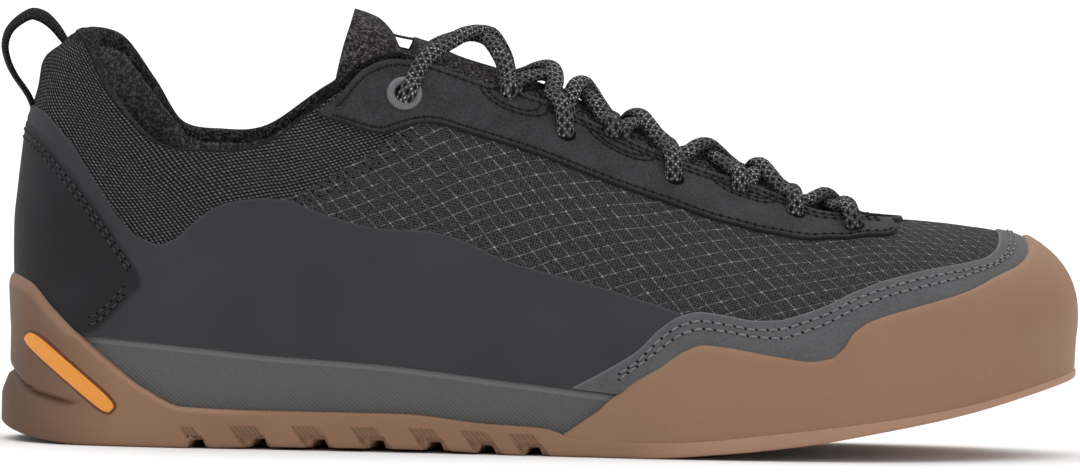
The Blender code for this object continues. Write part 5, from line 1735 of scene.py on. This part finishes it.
def make_lights():
    """Soft studio light: a broad box overhead, one on each side of the camera, and a dim grey surround."""
    scene = bpy.context.scene
    scene.view_settings.view_transform = "Standard"
    world = bpy.data.worlds.new("surround")
    scene.world = world
    world.use_nodes = True
    world.node_tree.nodes["Background"].inputs[0].default_value = (1, 1, 1, 1)
    world.node_tree.nodes["Background"].inputs[1].default_value = 0.50
    for name, place, aim, size, power in (
        ("overhead", (0.0, 1.9, 3.2), (0, 1.9, 0), 7.4, 226),
        ("front_left", (-1.1, -1.9, 1.0), (0, 0, 0.05), 0.9, 2.0),
        ("front_right", (1.3, -1.7, 0.7), (0, 0, 0.05), 0.9, 4.5),
    ):
        data = bpy.data.lights.new(name, "AREA")
        data.size = size
        data.energy = power
        light = bpy.data.objects.new(name, data)
        light.location = place
        way = np.array(aim) - np.array(place)
        flat = math.hypot(way[0], way[1])
        light.rotation_euler = (math.atan2(flat, -way[2]), 0, math.atan2(way[1], way[0]) - math.pi / 2)
        bpy.context.scene.collection.objects.link(light)


def main():
    """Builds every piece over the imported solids, then the stage."""
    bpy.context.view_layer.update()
    make_camera()
    rubber, tape = gum_rubber(), woven_tape()
    knit = brushed_knit("tongue_knit", "#232121", "#767273")
    # One brushed knit in two tones: the lining's paler copy is painted light for its shaded inside, and the
    # crest's darker copy is painted shade against the light from above
    lining = brushed_knit("lining_knit_painted_light", "#454546", "#969698")
    collar = brushed_knit("collar_knit_painted_shade", "#171718", "#5a5a5c")
    black = brushed_knit("black_knit", "#060607", "#303031")
    thread = even_finish("grey_thread", "#68686a", "#8a8a8c", 0.8, specular_ior_level=0.2)
    dark_thread = even_finish("dark_thread", "#2e2e30", "#4a4a4c", 0.8, specular_ior_level=0.2)
    black_thread = even_finish("black_thread", "#0c0c0d", "#1e1e1f", 0.8, specular_ior_level=0.2)
    # Near-black finish for the needle holes and the lace holes: painted shade
    hole_shade = even_finish("needle_hole_shade", "#080808", "#101010", 0.9, specular_ior_level=0.1)
    make_upper(spacer_mesh(), ripstop_cloth(), lining, collar, black, black_thread)
    make_midsole(moulded_foam())
    make_outsole(rubber)
    make_insole(knit)
    make_rand(rubber)
    make_guard(sueded_microfibre("mudguard_microfibre", "#535355", "#626264", "#747476"), thread, hole_shade)
    # The facing's near-black border band is painted shade along its edges
    make_facing(sueded_microfibre("facing_microfibre", "#29292b", "#404042", "#141415"), black_thread, hole_shade)
    make_counter(welded_film("counter_film", "#202022", "#27272a", "#444446", 0.65), dark_thread, hole_shade)
    make_films(welded_film("quarter_film", "#353438", "#39383c", "#4a4a4d", 0.6))
    seam_rows = along(CLOTH_TOP_ROWS, np.linspace(0.312, 0.412, 200))
    for tag, way in SIDES:
        for number, inset in enumerate((0.020, 0.048), 1):
            path = way * np.linspace(0.312 + 0.1 * inset, 0.412, 200), seam_rows - inset
            seam(f"cloth_seam_{tag}_{number}", *path, 0.0003, dark_thread, hole_shade, 0.0027, 0.0019, 0.00022)
    make_rings(even_finish("moulded_ring", "#606062", "#6c6c6e", 0.5))
    make_slots(hole_shade)
    make_tongue(knit, tape)
    make_loop(tape)
    make_laces(braided_lace())
    orange = even_finish("orange_print", "#e8922e", "#ee9c3c", 0.45)
    make_badge(orange, even_finish("dark_print", "#5a2a14", "#643018", 0.5))
    make_stage()
    make_lights()
    bpy.context.view_layer.update()


main()
